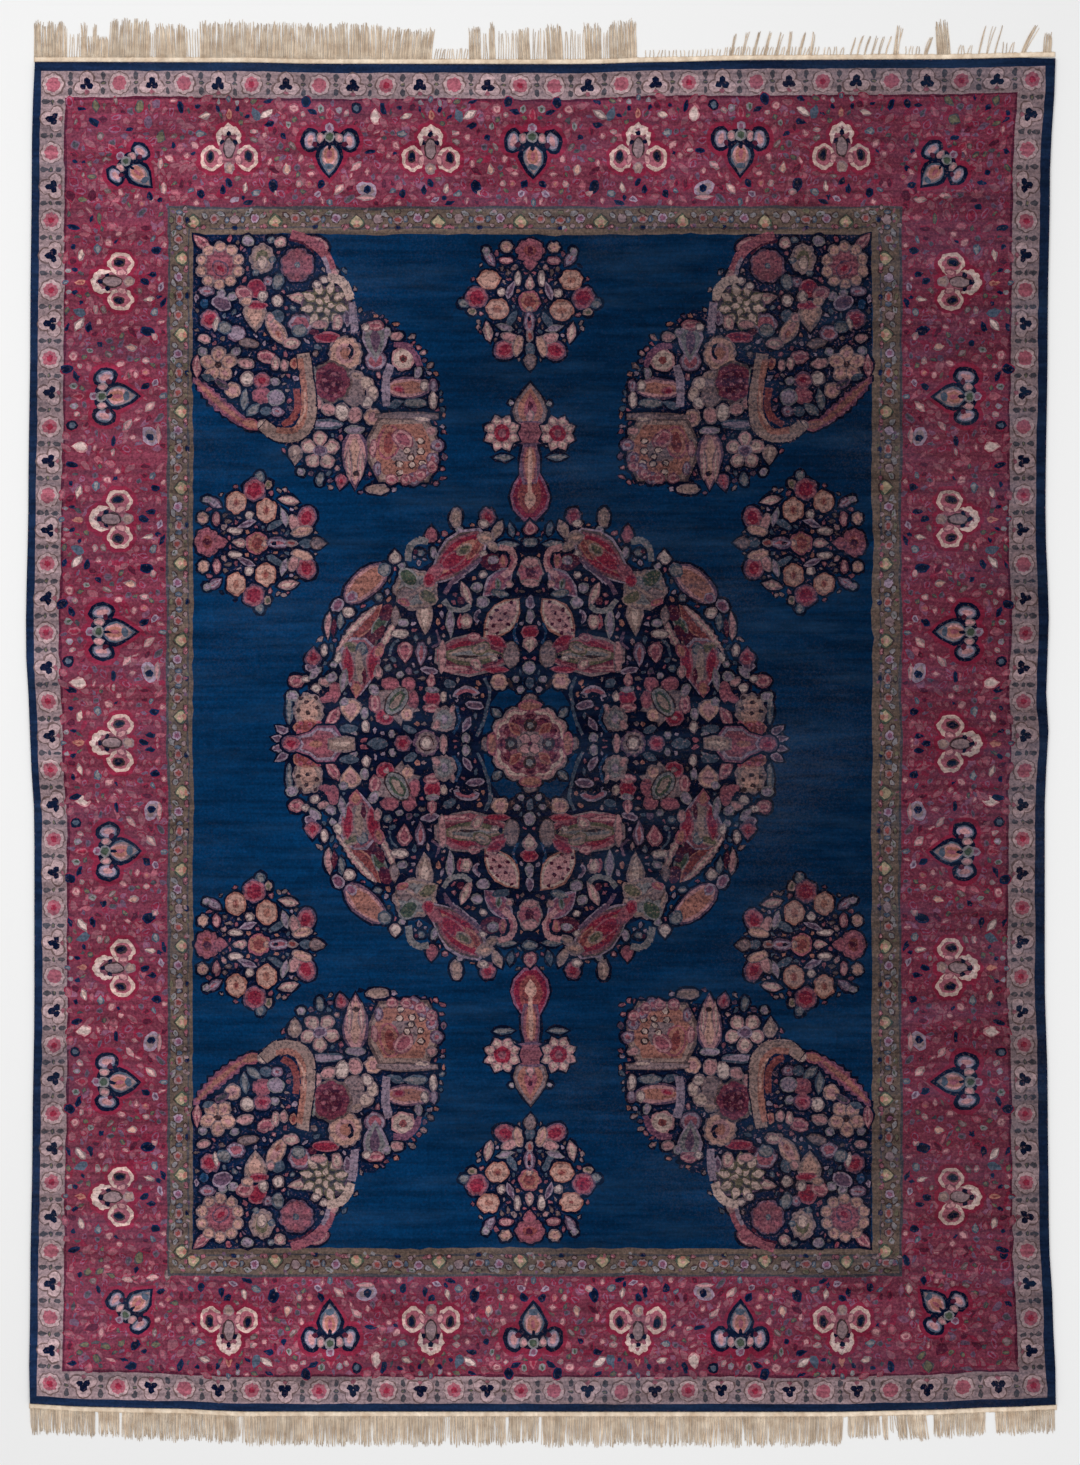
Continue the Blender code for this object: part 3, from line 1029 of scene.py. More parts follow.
@dataclass(frozen=True)
class MainBorder:
    """The main border: palmettes on madder, turned outward and inward in turn.

    Attributes:
        cell: the spacing of the palmettes that the sprigs were charted for, in knots.
        depth: the border's depth that they were charted for.
        ends: places of the palmettes along the head and foot, the cream ones first.
        sides: the same along the sides.
        corner_inset: how far a corner palmette stands in from both middle lines, in knots.
        corner_scale: how large it is drawn against the others.
        side_squeeze: how much shallower the palmettes along the sides are than those at the ends.
        corner_reach: how far from its middle the buds that go with it are kept.
        corner_room: how much ground round a corner palmette stays free of buds.
        halo: the width of the plain ground round a palmette.
        bud_halo: the same round the buds and leaves.
        mottles: how many low leaves shade the ground.
    """

    cell: float = 101.6
    depth: float = 106.0
    ends: tuple[float, ...] = (-310, -209, -108, -6, 99, 201, 303)
    sides: tuple[float, ...] = (454, 340, 217, 104, -7.5, -116, -232, -346, -461)
    corner_inset: float = 20.0
    corner_scale: float = 0.9
    side_squeeze: float = 0.84
    corner_reach: float = 40.0
    corner_room: float = 27.0
    halo: float = 4.5
    bud_halo: float = 0.7
    mottles: int = 1000

    def draw(self, chart: Chart) -> None:
        """Lay the border's ground, leaves and palmettes on the chart."""
        self._mottle(chart)
        size = 50 + 51j
        by_cream, by_navy = (
            around + BORDER_BUDS.sow(-size, size, in_cell, motif + around)
            for motif, around in ((CREAM_PALMETTE, BY_CREAM_PALMETTE),
                                  (NAVY_PALMETTE, BY_NAVY_PALMETTE)))
        self._sow_corners(chart)
        for side in Side:
            places = sorted(self.ends if side.value.imag else self.sides)
            self._draw_side(chart, side, places, by_cream, by_navy)
        for end in (Side.HEAD, Side.FOOT):
            for side in (Side.LEFT, Side.RIGHT):
                self._draw_corner(chart, end, side, by_navy)

    def _sow_corners(self, chart: Chart) -> None:
        """Fill the ground of the four corners, out to where the first cells begin."""
        clear = 4.0
        for end in (Side.HEAD, Side.FOOT):
            for side in (Side.LEFT, Side.RIGHT):
                outer = side.value * line_of(side, 2) + end.value * line_of(end, 2)
                inner = (side.value * (max(abs(x) for x in self.ends) + self.cell / 2)
                         + end.value * (max(abs(y) for y in self.sides) + self.cell / 2))
                low = complex(min(outer.real, inner.real), min(outer.imag, inner.imag))
                high = complex(max(outer.real, inner.real), max(outer.imag, inner.imag))

                def off_palmette(z: complex, middle: complex = self._corner(end, side)) -> bool:
                    """Whether a place lies clear of the corner's palmette."""
                    return abs(z - middle) > self.corner_room

                buds = BORDER_BUDS.sow(low + clear * (1 + 1j), high - clear * (1 + 1j),
                                       off_palmette, ())
                chart.sew(buds, Spot(), Dye.CARMINE, self.bud_halo)

    def _level(self, side: Side) -> float:
        """Where the middle line of the border lies on a side."""
        return line_of(side, 2) - DEPTHS[side].main_border / 2

    def _corner(self, end: Side, side: Side) -> complex:
        """Where the palmette of a corner stands."""
        return (side.value * (self._level(side) - self.corner_inset)
                + end.value * (self._level(end) - self.corner_inset))

    def _draw_side(self, chart: Chart, side: Side, places: list[float],
                   by_cream: tuple[Sprig, ...], by_navy: tuple[Sprig, ...]) -> None:
        """Lay one side's palmettes, which turn round at its middle.

        Args:
            chart: the chart.
            side: which side.
            places: where its palmettes stand, the first of them cream.
            by_cream, by_navy: what fills the ground round a cream and round a navy one.
        """
        run = Run(side, self._level(side))
        pitch = (places[-1] - places[0]) / (len(places) - 1)
        stretch = (pitch / self.cell, DEPTHS[side].main_border / self.depth)
        last = len(places) - 1
        for layer in range(2):
            for i, along in enumerate(places):
                cream = i % 2 == 0
                fillers = by_cream if cream else by_navy
                motif = CREAM_PALMETTE if cream else NAVY_PALMETTE
                if layer == 1:
                    squeeze = 1.0 if side.value.imag else self.side_squeeze
                    spot = run.spot(along, False, 0, (1.0, squeeze))
                    chart.sew(motif, spot, Dye.CARMINE, self.halo)
                elif 2 * i == last:
                    half = tuple(s for s in fillers if s.x < 1)
                    for backward in (False, True):
                        spot = run.spot(along, backward, 0, stretch)
                        chart.sew(half, spot, Dye.CARMINE, self.bud_halo)
                else:
                    spot = run.spot(along, 2 * i > last, 0, stretch)
                    chart.sew(fillers, spot, Dye.CARMINE, self.bud_halo)

    def _draw_corner(self, chart: Chart, end: Side, side: Side,
                     by_navy: tuple[Sprig, ...]) -> None:
        """Lay a corner's navy palmette, turned half way between its two sides."""
        out = (end.value + side.value) / abs(end.value + side.value)
        spot = Spot(self._corner(end, side), self.corner_scale * out / 1j)
        around = tuple(s for s in by_navy if abs(complex(s.x, s.y)) < self.corner_reach)
        chart.sew(around, spot, Dye.CARMINE, self.bud_halo)
        chart.sew(NAVY_PALMETTE, spot, Dye.CARMINE, self.halo)

    def _mottle(self, chart: Chart) -> None:
        """Scatter low-contrast leaves and stems over the ground."""
        rng = random.Random(71)
        dyes = (Dye.CARMINE, Dye.HEATHER, Dye.HEATHER, Dye.CARMINE, Dye.DUSTY, Dye.DUSTY,
                Dye.DUSTY, Dye.ROSE)
        wide, high = line_of(Side.RIGHT, 2) - 5, line_of(Side.HEAD, 2) - 5
        left, foot = -line_of(Side.LEFT, 2) + 5, -line_of(Side.FOOT, 2) + 5
        laid = 0
        while laid < self.mottles:
            middle = complex(rng.uniform(left, wide), rng.uniform(foot, high))
            inside = (-line_of(Side.LEFT, 3) - 4 < middle.real < line_of(Side.RIGHT, 3) + 4
                      and -line_of(Side.FOOT, 3) - 4 < middle.imag < line_of(Side.HEAD, 3) + 4)
            if inside:
                continue
            laid += 1
            long, broad = rng.uniform(8, 18), rng.uniform(4, 9)
            spot = Spot(middle, cmath.rect(1, rng.uniform(0, math.tau)))
            chart.lay(leaf(long, broad, 0), rng.choice(dyes), spot)


# ---------------------------------------------------------------------------------------------
# The inner guard: cream buds and small flowers on olive
# ---------------------------------------------------------------------------------------------

INNER_CELL = (
    Sprig(S.DROP, 0, -1.5, 14, 15, 90, C.YELLOW_BUD),
    Sprig(S.OVAL, 0, -6, 7, 4, 0, C.BRICK),
    Sprig(S.OVAL, -10, 4, 7, 5, 40, C.MOSS),
    Sprig(S.OVAL, 10, 4, 7, 5, 140, C.MOSS),
    Sprig(S.OVAL, -9, -7, 5, 4, 0, C.PINK),
    Sprig(S.OVAL, 9, -7, 5, 4, 0, C.PINK),
    Sprig(S.ROSE, 18, 1, 10, 10, 0, C.RUST),
    Sprig(S.OVAL, 25, -6, 5, 4, 0, C.BONE),
    Sprig(S.LEAF, 24, 6, 9, 5, 160, C.MOSS),
    Sprig(S.ROSE, 36, 0, 12, 9, 0, C.RUST),
    Sprig(S.OVAL, 29, 0, 5, 7, 0, C.ASH),
    Sprig(S.OVAL, 43, 0, 5, 7, 0, C.ASH),
    Sprig(S.OVAL, 36, -8, 6, 4, 0, C.INK),
    Sprig(S.OVAL, 47, -6, 5, 4, 0, C.BONE),
    Sprig(S.LEAF, 48, 6, 9, 5, 20, C.MOSS),
    Sprig(S.ROSE, 54, 1, 10, 10, 0, C.HEATHER),
    Sprig(S.OVAL, 61, -7, 6, 4, 0, C.PINK),
    Sprig(S.OVAL, 36, 8, 7, 4, 0, C.SAGE),
)


@dataclass(frozen=True)
class InnerGuard:
    """The inner guard: a narrow olive stripe of cream buds and small flowers.

    Attributes:
        pitch: the spacing of its buds that the sprigs were charted for, in knots.
        ends, sides: how many buds lie along the ends and along the sides.
        tone: how bright its wool is against the main border's.
        lines: how far in its dark and its olive stripes begin in turn, in knots.
        halo: the width of the dark line round its motifs.
        specks: how many odd buds lie beside each cell.
    """

    pitch: float = 72.0
    ends: int = 9
    sides: int = 14
    tone: float = 0.95
    lines: tuple[float, ...] = (0.0, 2.6, 20.5, 22.2)
    halo: float = 0.8
    specks: int = 9

    def draw(self, chart: Chart) -> None:
        """Lay the stripe's two edge lines and its flowers on the chart."""
        rng = random.Random(23)
        chart.tone = self.tone
        for i, deeper in enumerate(self.lines):
            chart.lay(rectangle(3, deeper), Dye.LODEN if i % 2 else Dye.DUSK)
        for side in Side:
            depth = DEPTHS[side]
            run = Run(side, line_of(side, 3) - depth.inner_guard / 2 + 1)
            ends = (Side.LEFT, Side.RIGHT) if side.value.imag else (Side.FOOT, Side.HEAD)
            low, high = -line_of(ends[0], 3), line_of(ends[1], 3)
            count = self.ends if side.value.imag else self.sides
            pitch = (high - low) / count
            stretch = (pitch / self.pitch, 1.0)
            for i in range(count):
                spot = run.spot(low + pitch * (i + 0.32), False, 0, stretch)
                kept = tuple(s for s in INNER_CELL if i < count - 1 or s.x < 48)
                chart.sew(kept, spot, Dye.BROWN, self.halo)
            for _ in range(count * self.specks):
                along = rng.uniform(low + 4, high - 4)
                speck = Sprig(S.OVAL, rng.uniform(-2, 2), rng.choice((-1, 1)) * rng.uniform(6, 10),
                              rng.uniform(3, 5), 3, rng.uniform(0, 90),
                              rng.choice((C.PINK, C.MOSS, C.SAND, C.SAGE, C.MAUVE_DARK)))
                chart.sew((speck,), run.spot(along), None)
        chart.tone = 1.0


# ---------------------------------------------------------------------------------------------
# The field: medallion, pendants, rosette clusters and corner sprays on indigo
# ---------------------------------------------------------------------------------------------

FOUR_WAYS = (Spot(), Spot(mirrored=True), Spot(turn=-1), Spot(turn=-1, mirrored=True))

# One quarter of the medallion, with x and y outward from its middle.
MEDALLION_QUARTER = (
    # the dotted leaf
    Sprig(S.LEAF, 28, 125, 54, 30, 130, C.DOTTED_LEAF),
    *dots(4.4, C.WINE, 25 + 130j, 39 + 125j, 30 + 123j, 22 + 119j, 43 + 113j, 32 + 110j, 19 + 141j,
          33 + 133j, 36 + 117j),
    # the cone palmette beside the axis
    Sprig(S.DROP, 52, 88, 86, 42, 180, C.CONE),
    Sprig(S.OVAL, 18, 89, 17, 28, 0, C.TAUPE),
    Sprig(S.LEAF, 67, 99, 34, 10, 165, C.RED),
    Sprig(S.OVAL, 56, 106, 14, 10, 0, C.PINK),
    Sprig(S.LEAF, 33, 102, 25, 12, 30, C.RED),
    Sprig(S.LEAF, 75, 75, 34, 9, 0, C.PINK),
    Sprig(S.LEAF, 33, 74, 28, 9, 0, C.RED),
    Sprig(S.DROP, 55, 89, 56, 17, 180, C.SAGE),
    Sprig(S.OVAL, 48, 95, 20, 13, 160, C.SAGE),
    Sprig(S.LEAF, 62, 87, 26, 3, 0, C.BROWN),
    Sprig(S.OVAL, 53, 79, 15, 11, 45, C.CREAM_PINK),
    Sprig(S.OVAL, 88, 87, 34, 9, 90, C.BLUSH),
    Sprig(S.OVAL, 35, 85, 9, 7, 0, C.BONE),
    Sprig(S.OVAL, 29, 87, 5, 6, 0, C.NAVY),
    # the peach bloom, and the arch with its tendrils
    Sprig(S.ROSE, 30, 62, 21, 19, 0, C.PEACH, lobes=6),
    Sprig(S.LEAF, 19, 60, 14, 5, 60, C.BROWN),
    *dots(8.5, C.LILAC, 13 + 64j, 9 + 54j),
    Sprig(S.CUP, 64, 52, 27, 12, -95, C.ARCH),
    Sprig(S.OVAL, 55, 39, 19, 9, 10, C.PLUM),
    Sprig(S.OVAL, 64, 6, 9, 12, 0, C.LILAC),
    Sprig(S.LEAF, 63, 20, 17, 8, 120, C.PLUM),
    Sprig(S.LEAF, 33, 31, 14, 8, 45, C.ASH),
    Sprig(S.OVAL, 80, 60, 13, 9, 20, C.SLATE),
    # the red and the grey rosette beside the heart
    Sprig(S.ROSE, 97, 46, 20, 18, 0, C.RED, lobes=6),
    Sprig(S.OVAL, 97, 54, 15, 7, 0, C.LILAC),
    Sprig(S.OVAL, 98, 36, 17, 10, 0, C.PINK),
    Sprig(S.OVAL, 86, 47, 8, 12, 0, C.CREAM),
    Sprig(S.ROSE, 85, 25, 26, 30, 0, C.GREY_BLOOM, lobes=8),
    Sprig(S.OVAL, 93, 19, 9, 13, 30, C.BLUSH),
    Sprig(S.OVAL, 77, 35, 6, 11, 20, C.BLUSH),
    *dots(5.5, C.NAVY, 103 + 29j, 88 + 67j, 53 + 119j, 127 + 130j, 64 + 47j),
    Sprig(S.OVAL, 100, 73, 18, 8, 10, C.PLUM),
    Sprig(S.DROP, 98, 64, 15, 10, 90, C.PINK),
    # the star flower with a green heart
    Sprig(S.STAR, 134, 42, 54, 50, 20, C.TAUPE, lobes=6),
    Sprig(S.OVAL, 140, 60, 19, 14, 10, C.ROSE),
    Sprig(S.OVAL, 121, 59, 15, 15, 60, C.ROSE),
    Sprig(S.OVAL, 155, 40, 12, 19, 0, C.PINK),
    Sprig(S.OVAL, 145, 26, 19, 16, 20, C.RED),
    Sprig(S.OVAL, 123, 29, 14, 15, 0, C.PEACH),
    Sprig(S.OVAL, 116, 44, 12, 18, 0, C.ROSE),
    Sprig(S.OVAL, 133, 42, 34, 22, 125, C.GREEN_HEART),
    Sprig(S.OVAL, 156, 54, 11, 14, 150, C.LILAC),
    Sprig(S.OVAL, 144, 26, 7, 6, 0, C.BLUSH),
    Sprig(S.OVAL, 138, 9, 8, 9, 0, C.LILAC),
    Sprig(S.OVAL, 120, 14, 15, 8, 20, C.SLATE),
    *dots(9, C.ASH, 142 + 76j, 152 + 146j, 109 + 191j),
    *dots(8.5, C.LILAC, 130 + 69j, 176 + 9j, 70 + 214j, 128 + 178j),
    # the peach drop and the buds above the level axis
    Sprig(S.DROP, 179, 33, 24, 22, -90, C.PEACH),
    Sprig(S.OVAL, 186, 42, 10, 10, 0, C.LILAC),
    Sprig(S.OVAL, 164, 17, 9, 13, 0, C.BONE),
    Sprig(S.OVAL, 165, 30, 9, 13, 0, C.LILAC),
    Sprig(S.OVAL, 166, 39, 7, 7, 0, C.NAVY),
    Sprig(S.OVAL, 181, 15, 19, 9, 0, C.SLATE),
    # the dotted fan and the daisy at the end of the level axis
    Sprig(S.ROSE, 221, 33, 34, 40, 0, C.DOTTED_FAN, lobes=9),
    Sprig(S.OVAL, 222, 16, 30, 16, 0, C.BRICK),
    Sprig(S.OVAL, 240, 34, 30, 7, 90, C.ASH),
    *dots(5.4, C.BROWN, 223 + 42j, 231 + 33j, 222 + 31j, 213 + 36j, 229 + 46j, 214 + 46j),
    *dots(6, C.RED, 229 + 20j, 220 + 19j, 211 + 21j, 231 + 12j),
    Sprig(S.DROP, 248, 14, 15, 9, 32, C.PLUM),
    Sprig(S.DROP, 252, 5, 13, 8, 10, C.PLUM),
    Sprig(S.LEAF, 197, 26, 26, 12, 120, C.PINK),
    Sprig(S.OVAL, 202, 17, 8, 6, 60, C.WINE),
    Sprig(S.OVAL, 214, 56, 12, 10, 30, C.BONE),
    Sprig(S.OVAL, 206, 62, 13, 9, 20, C.BLUSH),
    Sprig(S.OVAL, 199, 67, 11, 12, 60, C.LILAC),
    Sprig(S.OVAL, 196, 52, 21, 12, 90, C.ROSE),
    Sprig(S.OVAL, 204, 45, 13, 9, 0, C.ROSE),
    Sprig(S.OVAL, 208, 51, 7, 8, 0, C.NAVY),
    Sprig(S.OVAL, 202, 50, 5, 5, 0, C.RED),
    Sprig(S.OVAL, 233, 63, 16, 14, 0, C.PINK),
    Sprig(S.OVAL, 224, 65, 10, 8, 0, C.BONE),
    Sprig(S.LEAF, 215, 71, 17, 9, 135, C.LILAC),
    Sprig(S.OVAL, 237, 48, 13, 11, 0, C.LILAC),
    Sprig(S.OVAL, 219, 77, 13, 9, 0, C.PLUM),
    Sprig(S.DROP, 217, 87, 19, 17, 90, C.CARNATION),
    Sprig(S.OVAL, 206, 93, 14, 8, 90, C.BONE),
    # the foxglove, and the split leaf with its two toothed edges
    Sprig(S.LEAF, 168, 105, 44, 34, 128, C.SPLIT_LEAF),
    Sprig(S.LEAF, 165, 120, 50, 17, 130, C.BRICK),
    Sprig(S.LEAF, 150, 120, 26, 12, 130, C.MOSS),
    Sprig(S.OVAL, 144, 131, 18, 13, 110, C.WINE),
    Sprig(S.OVAL, 150, 111, 17, 9, 120, C.WINE),
    Sprig(S.SAW, 175, 116, 64, 9, 131, C.CREAM_PINK, 16, 9),
    Sprig(S.SAW, 143, 106, 44, 9, 118, C.CREAM_PINK, -14, 6),
    Sprig(S.DROP, 171, 77, 58, 43, -90, C.FOXGLOVE),
    Sprig(S.OVAL, 178, 96, 20, 11, 20, C.OLIVE),
    Sprig(S.OVAL, 168, 95, 12, 13, 0, C.ASH),
    Sprig(S.LEAF, 182, 79, 36, 12, 86, C.RED),
    Sprig(S.LEAF, 157, 81, 36, 13, 96, C.RED),
    Sprig(S.OVAL, 171, 77, 36, 11, 88, C.SAND),
    Sprig(S.LEAF, 166, 68, 17, 5, 90, C.WINE),
    Sprig(S.LEAF, 187, 64, 25, 8, 100, C.LILAC),
    Sprig(S.DROP, 174, 54, 17, 13, -90, C.SALMON),
    Sprig(S.OVAL, 192, 86, 13, 9, 110, C.BONE),
    Sprig(S.OVAL, 197, 79, 8, 7, 0, C.LILAC),
    Sprig(S.OVAL, 152, 72, 14, 9, 90, C.BLUSH),
    Sprig(S.OVAL, 151, 93, 16, 11, 110, C.SALMON),
    Sprig(S.LEAF, 202, 118, 29, 8, 94, C.BLUSH, 14),
    Sprig(S.LEAF, 196, 116, 19, 6, 94, C.WINE),
    Sprig(S.LEAF, 189, 122, 19, 8, 94, C.ASH),
    Sprig(S.OVAL, 192, 138, 15, 12, 120, C.HEATHER),
    Sprig(S.OVAL, 181, 131, 13, 12, 20, C.BONE),
    # the drops between them and the dotted leaf
    Sprig(S.LEAF, 135, 128, 22, 10, 90, C.TAUPE),
    Sprig(S.OVAL, 127, 121, 12, 9, 0, C.LILAC),
    Sprig(S.OVAL, 130, 110, 19, 10, 0, C.BONE),
    Sprig(S.LEAF, 127, 101, 18, 4, 0, C.NAVY),
    Sprig(S.DROP, 125, 91, 22, 16, -90, C.PINK),
    Sprig(S.DROP, 109, 89, 25, 12, -90, C.PLUM_PINK),
    Sprig(S.DROP, 105, 126, 37, 18, -90, C.SAND),
    Sprig(S.LEAF, 80, 121, 32, 9, 90, C.LILAC),
    Sprig(S.OVAL, 70, 122, 15, 6, 90, C.RED),
    Sprig(S.ROSE, 64, 122, 14, 17, 0, C.CREAM_PINK, lobes=6),
    Sprig(S.CUP, 53, 127, 15, 8, 190, C.PLUM),
    # the striped pomegranate and the large drop above it
    Sprig(S.ROSE, 115, 154, 50, 45, 0, C.POMEGRANATE, lobes=9),
    Sprig(S.OVAL, 122, 166, 23, 17, 40, C.MOSS),
    Sprig(S.OVAL, 102, 147, 22, 14, 30, C.OLIVE),
    Sprig(S.OVAL, 125, 149, 19, 16, 0, C.TAUPE),
    Sprig(S.BAR, 113, 153, 42, 5, 146, C.SAND),
    Sprig(S.OVAL, 127, 142, 13, 8, 20, C.SALMON),
    Sprig(S.DROP, 75, 185, 78, 41, -43, C.BOTEH),
    Sprig(S.LEAF, 54, 197, 34, 9, -62, C.BRICK, 24),
    Sprig(S.OVAL, 77, 184, 30, 16, -36, C.RED),
    Sprig(S.OVAL, 66, 194, 17, 11, -36, C.OLIVE),
    Sprig(S.OVAL, 95, 172, 20, 13, -43, C.ROSE),
    Sprig(S.OVAL, 101, 164, 15, 13, -70, C.RED),
    Sprig(S.OVAL, 114, 192, 5, 5, 0, C.WINE),
    Sprig(S.OVAL, 96, 191, 13, 8, 80, C.LILAC),
    # the salmon bud outside them
    Sprig(S.OVAL, 165, 160, 54, 28, 138, C.SALMON_BUD),
    Sprig(S.OVAL, 146, 174, 15, 14, 138, C.ASH),
    Sprig(S.OVAL, 179, 146, 13, 11, 138, C.HEATHER),
    Sprig(S.DROP, 135, 187, 15, 13, 90, C.BONE),
    Sprig(S.OVAL, 74, 226, 21, 12, 92, C.SAND),
    Sprig(S.DROP, 98, 210, 17, 13, 90, C.ROSE),
    Sprig(S.ROSE, 43, 227, 20, 18, 70, C.CARNATION, lobes=6),
    Sprig(S.OVAL, 47, 220, 12, 9, 0, C.BONE),
    # the lily and the hooked leaves beside the upright axis
    Sprig(S.LEAF, 45, 206, 21, 14, 10, C.TAN),
    Sprig(S.LEAF, 33, 214, 22, 11, 115, C.SAND),
    Sprig(S.OVAL, 38, 197, 15, 10, 30, C.TAN),
    Sprig(S.LEAF, 23, 199, 24, 8, 0, C.ASH),
    Sprig(S.LEAF, 19, 214, 16, 7, 80, C.SLATE),
    *dots(9, C.BONE, 47 + 190j, 47 + 169j),
    Sprig(S.LEAF, 38, 181, 28, 17, 10, C.WINE),
    Sprig(S.OVAL, 37, 183, 12, 10, 0, C.LILAC),
    Sprig(S.OVAL, 27, 182, 15, 8, 90, C.SALMON),
    Sprig(S.LEAF, 25, 191, 11, 5, 0, C.NAVY),
    Sprig(S.LEAF, 32, 161, 42, 21, 135, C.HEATHER),
    Sprig(S.OVAL, 32, 159, 13, 7, 80, C.MOSS),
    Sprig(S.OVAL, 30, 150, 19, 8, 10, C.ASH),
    Sprig(S.OVAL, 21, 159, 9, 9, 0, C.BLUSH),
    Sprig(S.LEAF, 64, 150, 28, 10, 68, C.CREAM_PINK),
    Sprig(S.OVAL, 69, 143, 8, 9, 0, C.WINE),
    Sprig(S.OVAL, 53, 156, 12, 11, 0, C.LILAC),
    Sprig(S.OVAL, 47, 141, 14, 12, 0, C.LILAC),
)
MEDALLION_QUARTER_VINES = (
    Vine((30 + 196j, 20 + 193j, 16 + 184j, 19 + 174j, 26 + 167j), 6.0, Dye.BLUSH),
    Vine((19 + 187j, 18 + 181j, 21 + 175j), 2.6, Dye.ROSE),
    Vine((50 + 184j, 64 + 173j, 78 + 162j, 85 + 151j), 4.5, Dye.MAUVE),
    Vine((54 + 178j, 66 + 168j, 76 + 160j), 1.6, Dye.LILAC),
    Vine((122 + 184j, 120 + 196j, 112 + 203j, 103 + 202j), 6.5, Dye.ASH),
    Vine((86 + 143j, 79 + 135j, 68 + 133j, 60 + 138j), 5.0, Dye.ASH),
    Vine((45 + 66j, 40 + 54j, 42 + 39j, 46 + 24j, 53 + 9j), 3.2, Dye.SLATE),
    Vine((76 + 12j, 70 + 24j, 73 + 38j), 2.6, Dye.SEA),
    Vine((94 + 112j, 91 + 102j, 98 + 96j), 2.4, Dye.MAUVE),
    Vine((140 + 88j, 138 + 98j, 132 + 104j), 2.4, Dye.SLATE),
    Vine((12 + 100j, 16 + 110j, 13 + 120j), 2.4, Dye.SEA),
)
# What stands on the medallion's upright axis, in the upper half.
MEDALLION_UPRIGHT = (
    Sprig(S.ROSE, 0, 171, 29, 31, 0, C.EYE_BLOOM, lobes=8),
    Sprig(S.OVAL, 0, 181, 19, 11, 0, C.BLUSH),
    Sprig(S.OVAL, 0, 160, 19, 9, 0, C.BLUSH),
    Sprig(S.DROP, 0, 216, 16, 14, 90, C.PINK),
    Sprig(S.OVAL, 0, 201, 16, 10, 0, C.ASH),
    Sprig(S.OVAL, 0, 141, 14, 9, 90, C.PLUM),
    Sprig(S.OVAL, 0, 127, 15, 9, 90, C.LILAC),
    Sprig(S.ROSE, 0, 112, 20, 15, 0, C.RED, lobes=6),
    Sprig(S.DROP, 0, 99, 17, 16, -90, C.CREAM_PINK),
    Sprig(S.OVAL, 0, 76, 14, 13, 90, C.LILAC),
    Sprig(S.OVAL, 0, 61, 12, 8, 90, C.SLATE),
)
# What stands on its level axis, in the right half.
MEDALLION_LEVEL = (
    Sprig(S.FAN, 211, 0, 52, 42, 0, C.TERMINAL, lobes=4),
    Sprig(S.OVAL, 238, 0, 20, 17, 0, C.CARNATION),
    Sprig(S.BAR, 188, 0, 28, 16, 0, C.SAND),
    Sprig(S.OVAL, 214, 0, 18, 11, 0, C.SALMON),
    Sprig(S.ROSE, 127, 0, 20, 19, 0, C.CARNATION),
    Sprig(S.OVAL, 152, 0, 20, 11, 0, C.SLATE),
    Sprig(S.ROSE, 103, 0, 29, 31, 0, C.RING),
    Sprig(S.OVAL, 103, 0, 13, 15, 0, C.BONE),
    Sprig(S.OVAL, 86, 0, 21, 8, 90, C.BLUSH),
)
MEDALLION_HEART = (
    *ring(4, 45, Sprig(S.OVAL, 0, 0, 9, 15, 0, C.TAUPE)),
    Sprig(S.ROSE, 0, 0, 90, 88, 0, C.HEART_RIM, lobes=12),
    *ring(4, 38, Sprig(S.OVAL, 0, 0, 12, 24, 0, C.SALMON)),
    Sprig(S.ROSE, 0, 0, 66, 64, 0, C.HEART_GROUND, lobes=12),
    *ring(12, 27, Sprig(S.OVAL, 0, 0, 6.5, 6, 0, C.PINK), 15),
    *ring(4, 21, Sprig(S.LEAF, 0, 0, 18, 10, 0, C.BRICK), 45),
    *ring(4, 19, Sprig(S.OVAL, 0, 0, 14, 14, 0, C.DARK_FLORET)),
    *ring(4, 7, Sprig(S.OVAL, 0, 0, 13, 12, 0, C.ASH_PINK), 45),
    Sprig(S.OVAL, 0, 0, 5, 5, 0, C.WINE),
)

# The pendant above the medallion, from its middle.
DAISY = (
    *ring(8, 13, Sprig(S.DROP, 0, 0, 12, 12, 0, C.CREAM_PINK), 22.5),
    Sprig(S.OVAL, 0, 0, 17, 17, 0, C.DAISY_HEART),
)
PENDANT = (
    *dots(6, C.LILAC, -19 + 341j, 19 + 341j),
    Sprig(S.DROP, 0, 338, 48, 35, 90, C.CROWN),
    Sprig(S.OVAL, 0, 339, 7, 5, 90, C.WINE),
    Sprig(S.DROP, 0, 328, 13, 9, 90, C.BLUSH),
    Sprig(S.BAR, 0, 311, 40, 24, 0, C.ROSE_BLOOM),
    Sprig(S.DROP, 0, 254, 62, 40, 90, C.TEAR),
    Sprig(S.BAR, 0, 280, 40, 20, 90, C.STEM),
    Sprig(S.BAR, 0, 273, 48, 4.5, 90, C.LIGHT),
    Sprig(S.LEAF, 0, 245, 20, 12, 90, C.LIGHT),
    *dots(8, C.BONE, -18 + 301j, 18 + 301j),
    Sprig(S.LEAF, -27, 287, 22, 7, 0, C.ASH),
    Sprig(S.LEAF, 27, 287, 22, 7, 0, C.ASH),
)

